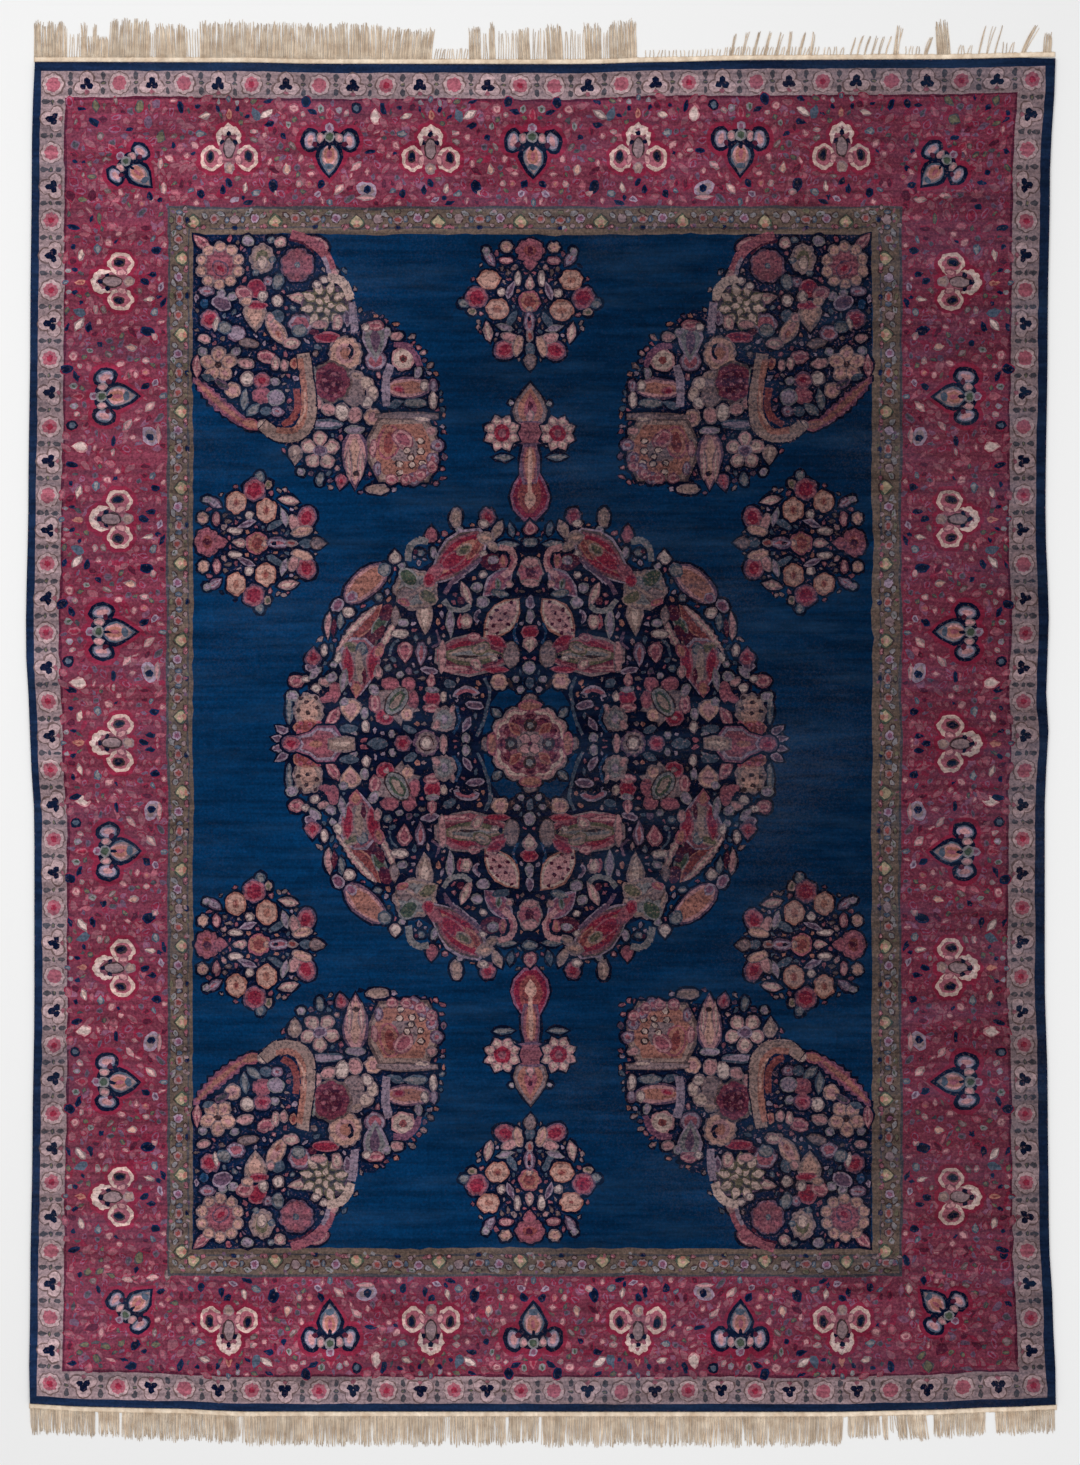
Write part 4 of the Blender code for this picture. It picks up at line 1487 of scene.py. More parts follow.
# A cluster of rosettes, growing along +y from its foot at the field's edge.
CLUSTER_MIDDLE = 48j
CLUSTER_HALF = (
    Sprig(S.ROSE, 24.5, -5, 14, 13, 0, C.PEACH, lobes=6),
    Sprig(S.OVAL, 24, 8.5, 15, 8, 0, C.PINK),
    Sprig(S.LEAF, 41, 6, 20, 9, 125, C.PLUM_PINK),
    Sprig(S.OVAL, 44, -1, 8, 9, 0, C.LILAC),
    Sprig(S.OVAL, 66, 52, 12, 10, 0, C.ASH),
    Sprig(S.OVAL, 58, 60, 10, 8, 0, C.OLIVE),
    Sprig(S.ROSE, 53, 46, 26, 26, 0, C.CARNATION, lobes=6),
    Sprig(S.ROSE, 41, 28, 26, 23, 0, C.PEACH_BLOOM, lobes=6),
    Sprig(S.OVAL, 28, 41, 10, 10, 20, C.BONE),
    Sprig(S.ROSE, 32, 58, 27, 24, 0, C.PEACH_BLOOM, lobes=6),
    Sprig(S.OVAL, 12, 27, 16, 8, 90, C.BONE),
    Sprig(S.LEAF, 19, 39, 20, 7, 70, C.PLUM),
    Sprig(S.OVAL, 18, 68, 20, 7, 60, C.SLATE),
    Sprig(S.LEAF, 25, 76, 20, 8, 165, C.LILAC),
    Sprig(S.LEAF, 42, 80, 22, 10, 100, C.CREAM_PINK),
    Sprig(S.OVAL, 25, 98, 24, 20, 20, C.CARNATION),
    Sprig(S.OVAL, 20, 86, 19, 11, 160, C.BLUSH),
    Sprig(S.OVAL, 12, 94, 22, 11, 75, C.PEACH),
)
CLUSTER_AXIS = (
    Sprig(S.ROSE, 0, -1, 32, 27, 0, C.PINK_BLOOM, lobes=8),
    Sprig(S.OVAL, 0, -1, 8, 7, 90, C.WINE),
    Sprig(S.DROP, 0, 13, 14, 14, 90, C.ROSE),
    Sprig(S.DROP, 0, 31, 15, 10, -90, C.CREAM_PINK),
    Sprig(S.ROSE, 0, 50, 25, 25, 0, C.SALMON, lobes=6),
    Sprig(S.OVAL, 0, 58, 8, 8, 0, C.PEACH),
    Sprig(S.OVAL, 0, 70, 22, 12, 90, C.PLUM_PINK),
    Sprig(S.OVAL, 0, 67, 6, 4, 90, C.NAVY),
    Sprig(S.OVAL, 0, 84, 12, 8, 90, C.RUST),
    Sprig(S.OVAL, 0, 98, 14, 10, 90, C.SLATE),
    Sprig(S.DROP, 0, 110, 17, 13, 90, C.TAUPE),
)

# A corner spray, with x and y inward from the corner of the field.
SPANDREL = (
    # the great rosette, the tan palmette and the dusty rose along the top
    Sprig(S.LEAF, 9, 8, 24, 11, 45, C.PINK),
    Sprig(S.ROSE, 27, 31, 44, 44, 0, C.DUSTY_ROSE),
    *ring(10, 19, Sprig(S.OVAL, 27, 31, 12, 13, 0, C.PEACH), 18),
    Sprig(S.OVAL, 28, 34, 19, 15, 40, C.CARNATION),
    Sprig(S.OVAL, 54, 6, 13, 11, 0, C.LILAC),
    Sprig(S.ROSE, 69, 24, 28, 34, 0, C.TAN_BLOOM, lobes=8),
    Sprig(S.OVAL, 69, 28, 15, 11, 90, C.CREAM),
    *dots(8, C.ASH, 78 + 5j, 79 + 25j, 63 + 38j),
    Sprig(S.OVAL, 87, 8, 13, 12, 0, C.CREAM_PINK),
    Sprig(S.ROSE, 104, 31, 38, 38, 20, C.ROSE_BLOOM, lobes=8),
    *ring(6, 11, Sprig(S.OVAL, 104, 31, 11, 8, 0, C.ROSE), 30),
    Sprig(S.OVAL, 104, 31, 7, 7, 0, C.ASH),
    Sprig(S.OVAL, 126, 10, 22, 13, 30, C.PINK),
    Sprig(S.OVAL, 141, 40, 15, 9, 70, C.BLUSH),
    # the carnation with its beige cup, and the small flowers down the side
    Sprig(S.OVAL, 14, 57, 17, 11, 0, C.PLUM_PINK),
    Sprig(S.OVAL, 11, 70, 9, 10, 0, C.SEA),
    Sprig(S.OVAL, 29, 59, 10, 9, 0, C.LILAC),
    Sprig(S.OVAL, 29, 69, 21, 15, 20, C.PLUM),
    Sprig(S.OVAL, 40, 62, 11, 10, 0, C.LILAC),
    Sprig(S.DROP, 62, 82, 32, 25, 90, C.TAN),
    Sprig(S.OVAL, 64, 54, 20, 19, 60, C.RED),
    Sprig(S.OVAL, 52, 59, 19, 15, 20, C.PINK),
    Sprig(S.OVAL, 65, 71, 21, 9, 0, C.RED),
    Sprig(S.OVAL, 54, 67, 13, 10, 0, C.PEACH),
    Sprig(S.OVAL, 70, 62, 11, 13, 0, C.BONE),
    Sprig(S.OVAL, 75, 47, 11, 11, 0, C.PLUM_PINK),
    Sprig(S.OVAL, 85, 47, 17, 12, 100, C.ASH),
    Sprig(S.OVAL, 85, 66, 12, 13, 0, C.BONE),
    Sprig(S.LEAF, 107, 64, 27, 11, 12, C.CREAM_PINK),
    Sprig(S.ROSE, 17, 85, 23, 22, 0, C.CARNATION, lobes=7),
    Sprig(S.LEAF, 23, 89, 16, 7, 100, C.BONE),
    Sprig(S.OVAL, 11, 104, 14, 9, 10, C.BLUSH),
    *dots(10, C.LILAC, 10 + 117j, 42 + 117j, 82 + 147j),
    Sprig(S.ROSE, 43, 99, 21, 18, 0, C.PLUM_PINK),
    Sprig(S.OVAL, 31, 93, 15, 13, 0, C.ASH),
    Sprig(S.OVAL, 55, 109, 21, 10, 10, C.TAUPE),
    Sprig(S.OVAL, 85, 82, 13, 14, 0, C.SLATE),
    Sprig(S.LEAF, 83, 96, 37, 17, 55, C.PEACH),
    Sprig(S.OVAL, 85, 100, 9, 6, 55, C.BRICK),
    Sprig(S.OVAL, 77, 83, 10, 11, 0, C.BLUSH),
    Sprig(S.ROSE, 107, 90, 27, 25, 0, C.PLUM_PINK, lobes=6),
    Sprig(S.OVAL, 106, 96, 16, 14, 0, C.ASH),
    Sprig(S.OVAL, 98, 109, 18, 12, 0, C.CREAM_PINK),
    # the dotted green palmette and its rim of petals
    Sprig(S.OVAL, 146, 70, 36, 24, 80, C.MAUVE_DARK),
    Sprig(S.ROSE, 131, 71, 40, 52, 100, C.MAUVE_DARK, lobes=9),
    *ring(9, 18, Sprig(S.DROP, 131, 71, 15, 10, 0, C.DOTTED_GREEN), 10),
    *ring(5, 7, Sprig(S.DROP, 131, 71, 11, 8, 0, C.DOTTED_GREEN)),
    *dots(10, C.BONE, 123 + 51j, 131 + 46j),
    Sprig(S.OVAL, 144, 88, 17, 12, 100, C.CREAM_PINK),
    Sprig(S.OVAL, 126, 90, 18, 10, 0, C.BLUSH),
    Sprig(S.OVAL, 154, 84, 16, 8, 90, C.PLUM),
    Sprig(S.OVAL, 120, 98, 10, 7, 0, C.WINE),
    Sprig(S.OVAL, 133, 103, 28, 11, 0, C.RED),
    # the round flower, the bell and the eyed flower
    Sprig(S.ROSE, 152, 119, 38, 39, 0, C.PEACH_RING),
    Sprig(S.CUP, 157, 117, 16, 7, 180, C.NAVY),
    Sprig(S.OVAL, 182, 126, 22, 21, 0, C.PLUM_PINK),
    Sprig(S.DROP, 182, 108, 40, 26, 90, C.LAVENDER),
    Sprig(S.OVAL, 182, 91, 19, 11, 0, C.PINK),
    Sprig(S.OVAL, 173, 93, 10, 10, 0, C.BONE),
    Sprig(S.OVAL, 194, 98, 9, 10, 0, C.LILAC),
    Sprig(S.OVAL, 204, 102, 14, 10, 0, C.BLUSH),
    Sprig(S.ROSE, 210, 125, 27, 27, 0, C.EYE, lobes=7),
    Sprig(S.OVAL, 225, 139, 13, 8, 100, C.LILAC),
    # the star, the pink cluster and the grey leaves inside the hook
    *ring(5, 10.5, Sprig(S.OVAL, 25, 130, 17, 15, 0, C.PEACH), 54),
    Sprig(S.OVAL, 25, 130, 8, 7, 0, C.BROWN),
    Sprig(S.LEAF, 4, 132, 25, 9, 90, C.PINK),
    Sprig(S.OVAL, 52, 129, 18, 11, 10, C.BLUSH),
    Sprig(S.ROSE, 73, 123, 22, 15, 10, C.PINK, lobes=7),
    Sprig(S.OVAL, 82, 129, 15, 9, 90, C.CREAM_PINK),
    Sprig(S.OVAL, 91, 131, 13, 9, 90, C.BLUSH),
    Sprig(S.OVAL, 101, 129, 12, 8, 90, C.BRICK),
    Sprig(S.OVAL, 54, 144, 15, 15, 20, C.BONE),
    Sprig(S.OVAL, 69, 146, 19, 17, 0, C.CARNATION),
    Sprig(S.ROSE, 69, 161, 21, 20, 0, C.PINK_BLOOM, lobes=7),
    Sprig(S.OVAL, 69, 160, 6, 5, 0, C.RED),
    Sprig(S.OVAL, 83, 163, 18, 17, 0, C.LILAC),
    Sprig(S.OVAL, 84, 177, 13, 11, 0, C.PLUM_PINK),
    Sprig(S.LEAF, 52, 165, 24, 9, 95, C.ASH),
    Sprig(S.LEAF, 61, 175, 19, 10, 140, C.ASH),
    Sprig(S.OVAL, 73, 177, 12, 10, 0, C.SLATE),
    Sprig(S.ROSE, 40, 156, 19, 18, 30, C.PEACH, lobes=5),
    Sprig(S.LEAF, 15, 143, 14, 7, 20, C.SLATE),
    Sprig(S.OVAL, 29, 150, 17, 8, 30, C.MAUVE_DARK),
    Sprig(S.SAW, 28, 170, 78, 16, 41, C.LEAF_PINK, -14, 9),
    Sprig(S.LEAF, 58, 190, 24, 12, 15, C.SALMON),
    Sprig(S.OVAL, 70, 191, 13, 12, 0, C.CREAM),
    # the dark palmette and its two rows of scallops
    Sprig(S.OVAL, 158, 154, 40, 26, 70, C.TAUPE),
    Sprig(S.ROSE, 138, 148, 46, 48, 0, C.DOTTED_WINE, lobes=8),
    *dots(5.5, C.ROSE, 131 + 146j, 140 + 150j, 148 + 155j, 141 + 140j, 133 + 156j, 142 + 161j,
          124 + 152j),
    Sprig(S.OVAL, 120, 143, 22, 6, 90, C.MOSS),
    Sprig(S.OVAL, 123, 168, 16, 12, 60, C.BLUSH),
    Sprig(S.OVAL, 135, 175, 16, 13, 20, C.BLUSH),
    Sprig(S.OVAL, 149, 178, 19, 15, 80, C.BONE),
    Sprig(S.OVAL, 162, 181, 18, 15, 100, C.BLUSH),
    Sprig(S.OVAL, 163, 141, 15, 10, 20, C.SAND),
    Sprig(S.OVAL, 173, 149, 17, 14, 50, C.CREAM),
    Sprig(S.OVAL, 179, 159, 17, 12, 80, C.CREAM),
    Sprig(S.OVAL, 174, 168, 14, 12, 130, C.BONE),
    Sprig(S.ROSE, 180, 183, 20, 20, 0, C.PEACH, lobes=6),
    # the level bud, and the square palmette with its netted heart
    Sprig(S.OVAL, 214, 154, 47, 22, 0, C.SALMON_BUD),
    Sprig(S.OVAL, 205, 156, 13, 8, 10, C.RED),
    Sprig(S.OVAL, 231, 152, 10, 13, 0, C.BONE),
    Sprig(S.OVAL, 240, 152, 9, 14, 0, C.PLUM_PINK),
    Sprig(S.OVAL, 240, 166, 18, 9, 90, C.BONE),
    Sprig(S.OVAL, 222, 169, 25, 10, 0, C.ASH),
    Sprig(S.LEAF, 202, 170, 18, 8, 160, C.SLATE),
    Sprig(S.BAR, 210, 215, 64, 70, 90, C.SQUARE_PALM),
    Sprig(S.OVAL, 196, 208, 34, 22, 100, C.SALMON),
    Sprig(S.OVAL, 210, 205, 24, 18, 40, C.PINK),
    Sprig(S.BAR, 214, 182, 64, 8, 0, C.TAUPE),
    Sprig(S.OVAL, 229, 185, 17, 6, 0, C.CREAM),
    *dots(9, C.CREAM_DOT, 228 + 207j, 228 + 217j, 218 + 223j, 229 + 229j, 219 + 230j, 206 + 229j,
          214 + 216j, 207 + 238j),
    Sprig(S.OVAL, 239, 197, 13, 10, 0, C.BLUSH),
    *ring(4, 54, Sprig(S.OVAL, 192, 198, 14, 13, 0, C.PLUM_PINK), 14, 60),
    *ring(4, 50, Sprig(S.OVAL, 205, 195, 12, 13, 0, C.PINK), 48, 66),
    Sprig(S.OVAL, 185, 234, 15, 9, 90, C.PLUM_PINK),
    Sprig(S.OVAL, 181, 214, 18, 8, 95, C.PINK),
    # the star, the long bud and the buds at the foot
    *ring(5, 11, Sprig(S.DROP, 127, 216, 18, 15, 180, C.CREAM_PINK), 54),
    Sprig(S.OVAL, 127, 216, 15, 12, 0, C.PLUM),
    Sprig(S.DROP, 102, 221, 21, 15, 90, C.SAND),
    Sprig(S.DROP, 162, 226, 60, 27, 90, C.STRIPED_BUD),
    Sprig(S.LEAF, 156, 230, 36, 8, 88, C.CREAM_PINK),
    Sprig(S.LEAF, 168, 230, 34, 8, 92, C.CREAM_PINK),
    Sprig(S.OVAL, 163, 239, 7, 6, 0, C.BROWN),
    Sprig(S.OVAL, 162, 196, 21, 9, 0, C.LILAC),
    Sprig(S.OVAL, 132, 190, 38, 10, 0, C.SLATE_LILAC),
    Sprig(S.DROP, 148, 248, 17, 13, 100, C.CARNATION),
    Sprig(S.OVAL, 127, 245, 15, 9, 100, C.ASH),
    Sprig(S.OVAL, 108, 238, 9, 9, 0, C.LILAC),
    Sprig(S.OVAL, 184, 255, 24, 11, 0, C.SAND),
)
SICKLE = (72 + 192j, 84 + 201j, 99 + 202j, 111 + 195j, 116 + 182j, 116 + 160j, 113 + 140j,
          110 + 122j)
SPANDREL_VINES = (
    Vine((100 + 1j, 112 + 5j, 124 + 13j, 133 + 23j, 138 + 34j), 9.0, Dye.ROSE),
    Vine((96 + 6j, 110 + 10j, 120 + 19j), 2.2, Dye.WINE),
    Vine((130 + 24j, 134 + 32j, 136 + 40j), 4.0, Dye.LILAC),
    Vine((136 + 44j, 147 + 47j, 154 + 55j, 157 + 64j), 8.5, Dye.CREAM),
    Vine((159 + 70j, 161 + 84j, 161 + 97j), 7.5, Dye.LILAC),
    Vine((202 + 111j, 213 + 112j, 222 + 120j, 226 + 131j), 6.0, Dye.HEATHER),
    Vine((196 + 132j, 192 + 149j, 193 + 170j), 8.0, Dye.LILAC),
    Vine(SICKLE, 15.0, Dye.NIGHT),
    Vine(SICKLE, 12.0, Dye.SAND),
    Vine((84 + 196j, 98 + 197j, 108 + 188j, 111 + 170j, 110 + 148j, 107 + 126j), 6.0, Dye.SALMON),
    Vine((104 + 190j, 111 + 176j, 111 + 158j), 2.4, Dye.APRICOT),
    Vine((90 + 190j, 99 + 184j, 104 + 172j, 103 + 156j), 6.5, Dye.BRICK),
)
SPANDREL_GROUND = (
    0j, 134 + 0j, 143 + 30j, 160 + 44j, 168 + 70j, 166 + 100j, 178 + 82j, 192 + 80j, 206 + 92j,
    222 + 104j, 234 + 122j, 246 + 145j, 250 + 170j, 254 + 200j, 252 + 250j, 212 + 252j,
    186 + 262j, 150 + 256j, 120 + 250j, 94 + 222j, 84 + 206j, 60 + 194j, 30 + 182j, 0 + 146j,
)


def in_medallion(z: complex) -> bool:
    """Whether a place lies in the medallion's first quarter, clear of its axes."""
    return (z.real > 3 and z.imag > 3 and math.hypot(z.real / 240, z.imag / 226) < 1
            and math.hypot(z.real / 52, z.imag / 70) > 1)


def in_spandrel(z: complex) -> bool:
    """Whether a place lies on the dark ground of the corner spray."""
    ground = [(corner.real, corner.imag) for corner in SPANDREL_GROUND]
    return holds(ground, z.real, z.imag) and z.real > 3 and z.imag > 3


def in_cluster(z: complex) -> bool:
    """Whether a place lies in the right half of a rosette cluster."""
    return z.real > 3 and abs(z - CLUSTER_MIDDLE) < 61


BUDS = Sowing(8000, 4.5, 9, 0.8, (C.PINK, C.ROSE, C.PLUM, C.ASH, C.SLATE, C.CREAM_PINK, C.TAUPE,
                                C.RED, C.MAUVE_DARK, C.HEATHER, C.BLUSH, C.BRICK), 17)


@dataclass(frozen=True)
class Field:
    """The indigo field and everything that grows on it.

    Attributes:
        middle: the medallion's middle, in knots from the middle of the carpet.
        cluster_head, cluster_foot, cluster_side: how far the clusters' feet stand from it.
        cluster_off: how far those at the sides stand above and below it.
        daisy: where the right daisy of a pendant stands.
        medallion_ground, heart_ground, cluster_ground: the scalloped grounds under them, as
            their size along x and along y, their lobes and the depth of the notches.
        halo: the width of the dark line round its motifs.
        bud_halo: the same round the small buds.
        deep_share: how much of a corner spray's ground is dyed darker.
        tone: how bright the wool of the field's motifs is against the borders'.
        outer_tone: the same for the pendants and for the clusters in line with them.
        ground_mingled: how far odd knots are mingled into the plain indigo.
        mingled: how far they are mingled into the motifs.
    """

    middle: complex = complex(-9.0, -8.0)
    cluster_head: float = 492.0
    cluster_foot: float = 487.0
    cluster_side: float = 322.0
    cluster_off: float = 201.0
    daisy: complex = 28 + 311j
    medallion_ground: tuple[float, float, int, float] = (446.0, 420.0, 18, 0.06)
    heart_ground: tuple[float, float, int, float] = (100.0, 136.0, 8, 0.05)
    cluster_ground: tuple[float, float, int, float] = (98.0, 98.0, 9, 0.12)
    halo: float = 2.5
    bud_halo: float = 1.3
    deep_share: float = 0.94
    tone: float = 0.76
    outer_tone: float = 0.98
    ground_mingled: float = 0.04
    mingled: float = 0.9

    def draw(self, chart: Chart) -> None:
        """Lay the field's motifs on the chart."""
        chart.mingled = self.ground_mingled
        chart.lay(rectangle(4), Dye.INDIGO)
        chart.lay(scalloped(*self.medallion_ground), Dye.MIDNIGHT, Spot(self.middle))
        chart.lay(scalloped(*self.heart_ground), Dye.INDIGO, Spot(self.middle))
        chart.tone, chart.mingled = self.tone, self.mingled
        self._draw_spandrels(chart)
        self._draw_clusters(chart)
        self._draw_pendants(chart)
        chart.tone = self.tone
        self._draw_medallion(chart)

    def _from_middle(self, way: Spot) -> Spot:
        """Place a mirrored copy about the medallion's middle."""
        return Spot(self.middle, way.turn, way.mirrored)

    def _draw_medallion(self, chart: Chart) -> None:
        """Lay the four quarters, the two axes and the heart."""
        axes = MEDALLION_UPRIGHT + MEDALLION_LEVEL + MEDALLION_HEART
        buds = BUDS.sow(0j, 240 + 228j, in_medallion, MEDALLION_QUARTER + axes,
                        MEDALLION_QUARTER_VINES)
        for way in FOUR_WAYS:
            spot = self._from_middle(way)
            chart.sew(buds, spot, Dye.NIGHT, self.bud_halo)
            chart.sew(MEDALLION_QUARTER, spot, Dye.NIGHT, self.halo)
            chart.trail(MEDALLION_QUARTER_VINES, spot)
        for turn in (1, -1):
            spot = Spot(self.middle, turn)
            chart.sew(MEDALLION_UPRIGHT, spot, Dye.NIGHT, self.halo)
            chart.sew(MEDALLION_LEVEL, spot, Dye.NIGHT, self.halo)
        chart.sew(MEDALLION_HEART, Spot(self.middle), Dye.NIGHT, self.halo)

    def _draw_pendants(self, chart: Chart) -> None:
        """Lay the pendants above and below the medallion."""
        chart.tone = self.outer_tone
        for turn in (1, -1):
            chart.sew(PENDANT, Spot(self.middle, turn), Dye.NIGHT, self.halo)
            for place in (self.daisy, -self.daisy.conjugate()):
                chart.sew(DAISY, Spot(self.middle + place * turn, turn), Dye.NIGHT, self.halo)

    def _draw_clusters(self, chart: Chart) -> None:
        """Lay the six rosette clusters round the edge of the field."""
        across, off = self.cluster_side, self.cluster_off
        feet = [(1j * self.cluster_head, -1 + 0j), (-1j * self.cluster_foot, 1 + 0j)]
        feet += [(complex(side * across, end * off), side * 1j)
                 for side in (-1, 1) for end in (-1, 1)]
        buds = BUDS.sow(-14j, 70 + 118j, in_cluster, CLUSTER_HALF + CLUSTER_AXIS)
        for foot, turn in feet:
            chart.tone = self.tone if turn.imag else self.outer_tone
            chart.lay(scalloped(*self.cluster_ground), Dye.DEEP,
                      Spot(self.middle + foot + turn * CLUSTER_MIDDLE, turn))
            for mirrored in (False, True):
                spot = Spot(self.middle + foot, turn, mirrored)
                chart.sew(buds, spot, Dye.NIGHT, self.bud_halo)
                chart.sew(CLUSTER_HALF, spot, Dye.NIGHT, self.halo)
            chart.sew(CLUSTER_AXIS, Spot(self.middle + foot, turn), Dye.NIGHT, self.halo)

    def _draw_spandrels(self, chart: Chart) -> None:
        """Lay the four corner sprays."""
        left, right = -line_of(Side.LEFT, 4), line_of(Side.RIGHT, 4)
        foot, head = -line_of(Side.FOOT, 4), line_of(Side.HEAD, 4)
        corners = (complex(left, foot), complex(right, foot), complex(right, head),
                   complex(left, head))
        buds = BUDS.sow(0j, 252 + 262j, in_spandrel, SPANDREL, SPANDREL_VINES)
        for corner, way in zip(corners, FOUR_WAYS):
            spot = Spot(corner, way.turn, way.mirrored)
            chart.lay([z * self.deep_share for z in SPANDREL_GROUND], Dye.DEEP, spot)
            chart.sew(buds, spot, Dye.NIGHT, self.bud_halo)
            chart.sew(SPANDREL, spot, Dye.NIGHT, self.halo)
            chart.trail(SPANDREL_VINES, spot)


# ---------------------------------------------------------------------------------------------
# The loom: one knotted sheet woven from the chart
# ---------------------------------------------------------------------------------------------

@dataclass(frozen=True)
class Loom:
    """Weaves the chart into one closed sheet of pile that fills the body's outline.

    Attributes:
        body: the outline that it fills.
        sway: how far straight lines of the design wander, in knots.
        slip: how far a single point of it may slip, in knots.
        ripple: how far the pile's top rises and falls, in metres.
        grain: how far one dyed patch differs in lightness from the next.
        shade_from, shade_over: where painted shade begins to darken the field towards the right, and
            over how far, in knots.
        shade_foot: the level below which that painted shade is weaker, in knots.
        shade_by: how much of its brightness the painted shade takes; it stands for the pile's sheen.
        pile_top: the height of the pile.
        buried: how far under it the cloth's hidden top lies.
        net: spacing of the plain points that let the ground ripple, in knots.
    """

    body: Body
    sway: float = 1.5
    slip: float = 0.45
    ripple: float = 0.0004
    grain: float = 0.05
    shade_from: float = -240.0
    shade_over: float = 300.0
    shade_foot: float = -420.0
    shade_by: float = 0.40
    pile_top: float = BODY_THICKNESS - 0.0004
    buried: float = 0.0015
    net: float = 14.0

    def place(self, z: complex) -> complex:
        """Where a point of the chart, in knots, lies in the frame, in metres."""
        head, side = line_of(Side.HEAD, 0), line_of(Side.RIGHT, 0)
        up = min(max((z.imag + head) / (2 * head), 0), 1)
        across = min(max((z.real + side) / (2 * side), 0), 1)
        pull = complex(
            self.body.right.out_at(up) * self._grip(z.real, Side.RIGHT)
            - self.body.left.out_at(up) * self._grip(-z.real, Side.LEFT),
            self.body.head.out_at(across) * self._grip(z.imag, Side.HEAD)
            - self.body.foot.out_at(across) * self._grip(-z.imag, Side.FOOT))
        return z * KNOT + pull + self.body.shift

    def _grip(self, reach: float, side: Side) -> float:
        """How fully a point follows the uneven edge of a side: 1 in the guard, 0 in the field."""
        full, none = line_of(side, 2), line_of(side, 4)
        return min(max((reach - none) / (full - none), 0.0), 1.0)

    def _wander(self, z: complex, rng: random.Random) -> complex:
        """Let a point of the design wander as it does on a hand loom."""
        inside = min(line_of(Side.RIGHT, 0) - z.real, z.real + line_of(Side.LEFT, 0),
                     line_of(Side.HEAD, 0) - z.imag, z.imag + line_of(Side.FOOT, 0))
        calm = min(max((inside - 3) / 12, 0), 1)
        slow = complex(*(noise.noise(Vector((z.real / 55, z.imag / 55, level)))
                         for level in (3.7, 61.3)))
        slip = complex(rng.gauss(0, self.slip), rng.gauss(0, self.slip))
        return z + calm * (slow * self.sway + slip)

    def rim(self, inset: float) -> Outline:
        """The body's outline drawn in by a distance, in the frame."""
        outline = self.body.outline()
        made = []
        for before, here, after in zip(outline[-1:] + outline[:-1], outline,
                                       outline[1:] + outline[:1]):
            ahead = (here - before) / abs(here - before) + (after - here) / abs(after - here)
            inward = 1j * ahead / abs(ahead)
            turn = (after - here) / (here - before)
            open_up = 1 / max(0.5, math.cos(cmath.phase(turn) / 2))
            made.append(here + inward * inset * open_up)
        return made

    def _cover(self, chart: Chart) -> tuple[list[Vector], list[list[int]], list[Colour]]:
        """Cut the chart's patches into faces that touch without overlap.

        Args:
            chart: the finished chart.

        Returns:
            The points in the frame, the faces, and the colour of each face's wool.
        """
        rng = random.Random(9)
        points: list[Vector] = []
        areas: list[list[int]] = []
        wools: list[Colour] = []

        def add(outline: Outline, dye: Dye, tone: float, mingled: float) -> None:
            """Add one outline that already lies in the frame."""
            areas.append(list(range(len(points), len(points) + len(outline))))
            points.extend(Vector((z.real, z.imag)) for z in outline)
            wools.append((*vary(linear(dye.value), tone)[:3], mingled))

        add(self.rim(self.body.edge_round), Dye.EDGE, 1.0, 0.0)
        for patch in chart.patches:
            placed = [self.place(self._wander(z, rng)) for z in patch.outline]
            if turned_area(placed) < 0:
                placed.reverse()
            if is_simple(placed):
                add(placed, patch.dye, patch.tone, patch.mingled)
        points.extend(self._net_points())
        made, _, faces, _, _, origins = delaunay_2d_cdt(points, [], areas, 1, 1e-6)
        outlines = [[(points[i].x, points[i].y) for i in area] for area in areas]
        return made, faces, [
            wools[top_patch([made[i] for i in face], origin, outlines)]
            for face, origin in zip(faces, origins)]

    def _net_points(self) -> list[Vector]:
        """Plain points all over the sheet, so that large patches can ripple."""
        rng = random.Random(4)
        count_x, count_y = int(WIDTH_IN_KNOTS / self.net), int(LENGTH_IN_KNOTS / self.net)
        made = []
        for i in range(1, count_x):
            for j in range(1, count_y):
                z = complex(i / count_x - 0.5, j / count_y - 0.5)
                z = complex(z.real * WIDTH_IN_KNOTS, z.imag * LENGTH_IN_KNOTS)
                z += complex(rng.uniform(-2, 2), rng.uniform(-2, 2))
                placed = self.place(z)
                made.append(Vector((placed.real, placed.imag)))
        return made

    def height(self, x: float, y: float) -> float:
        """The height of the pile's top at a point."""
        slow = noise.noise(Vector((x * 2.3, y * 2.3, 0.4)))
        fine = noise.noise(Vector((x * 9, y * 9, 5.1)))
        return self.pile_top + self.ripple * (0.6 * slow + 0.35 * fine)

    def weave(self, chart: Chart, pile: bpy.types.Material) -> list[bpy.types.Object]:
        """Weave the chart into the foundation and the six areas of its pile.

        Args:
            chart: the finished chart.
            pile: what the pile is made of.

        Returns:
            The foundation, which is the closed cloth, and then the areas of pile on it.
        """
        points, faces, wools = self._cover(chart)
        rng = random.Random(31)
        areas: dict[str, list[tuple[tuple[int, ...], Colour]]] = {}
        for corners, wool in zip(faces, wools):
            middle = sum((points[i] for i in corners), Vector((0.0, 0.0))) / len(corners)
            # Random grain per patch, and painted shade that darkens the field towards the right.
            tinted = vary(wool, rng.gauss(1, self.grain) * self._painted_sheen_darkening(middle))
            areas.setdefault(self._area_of(middle), []).append((tuple(corners), tinted))
        made = [self._foundation(rim_of(faces, points), pile)]
        for name in sorted(areas):
            made.append(self._pile(f"pile_{name}", points, areas[name], pile))
        return made

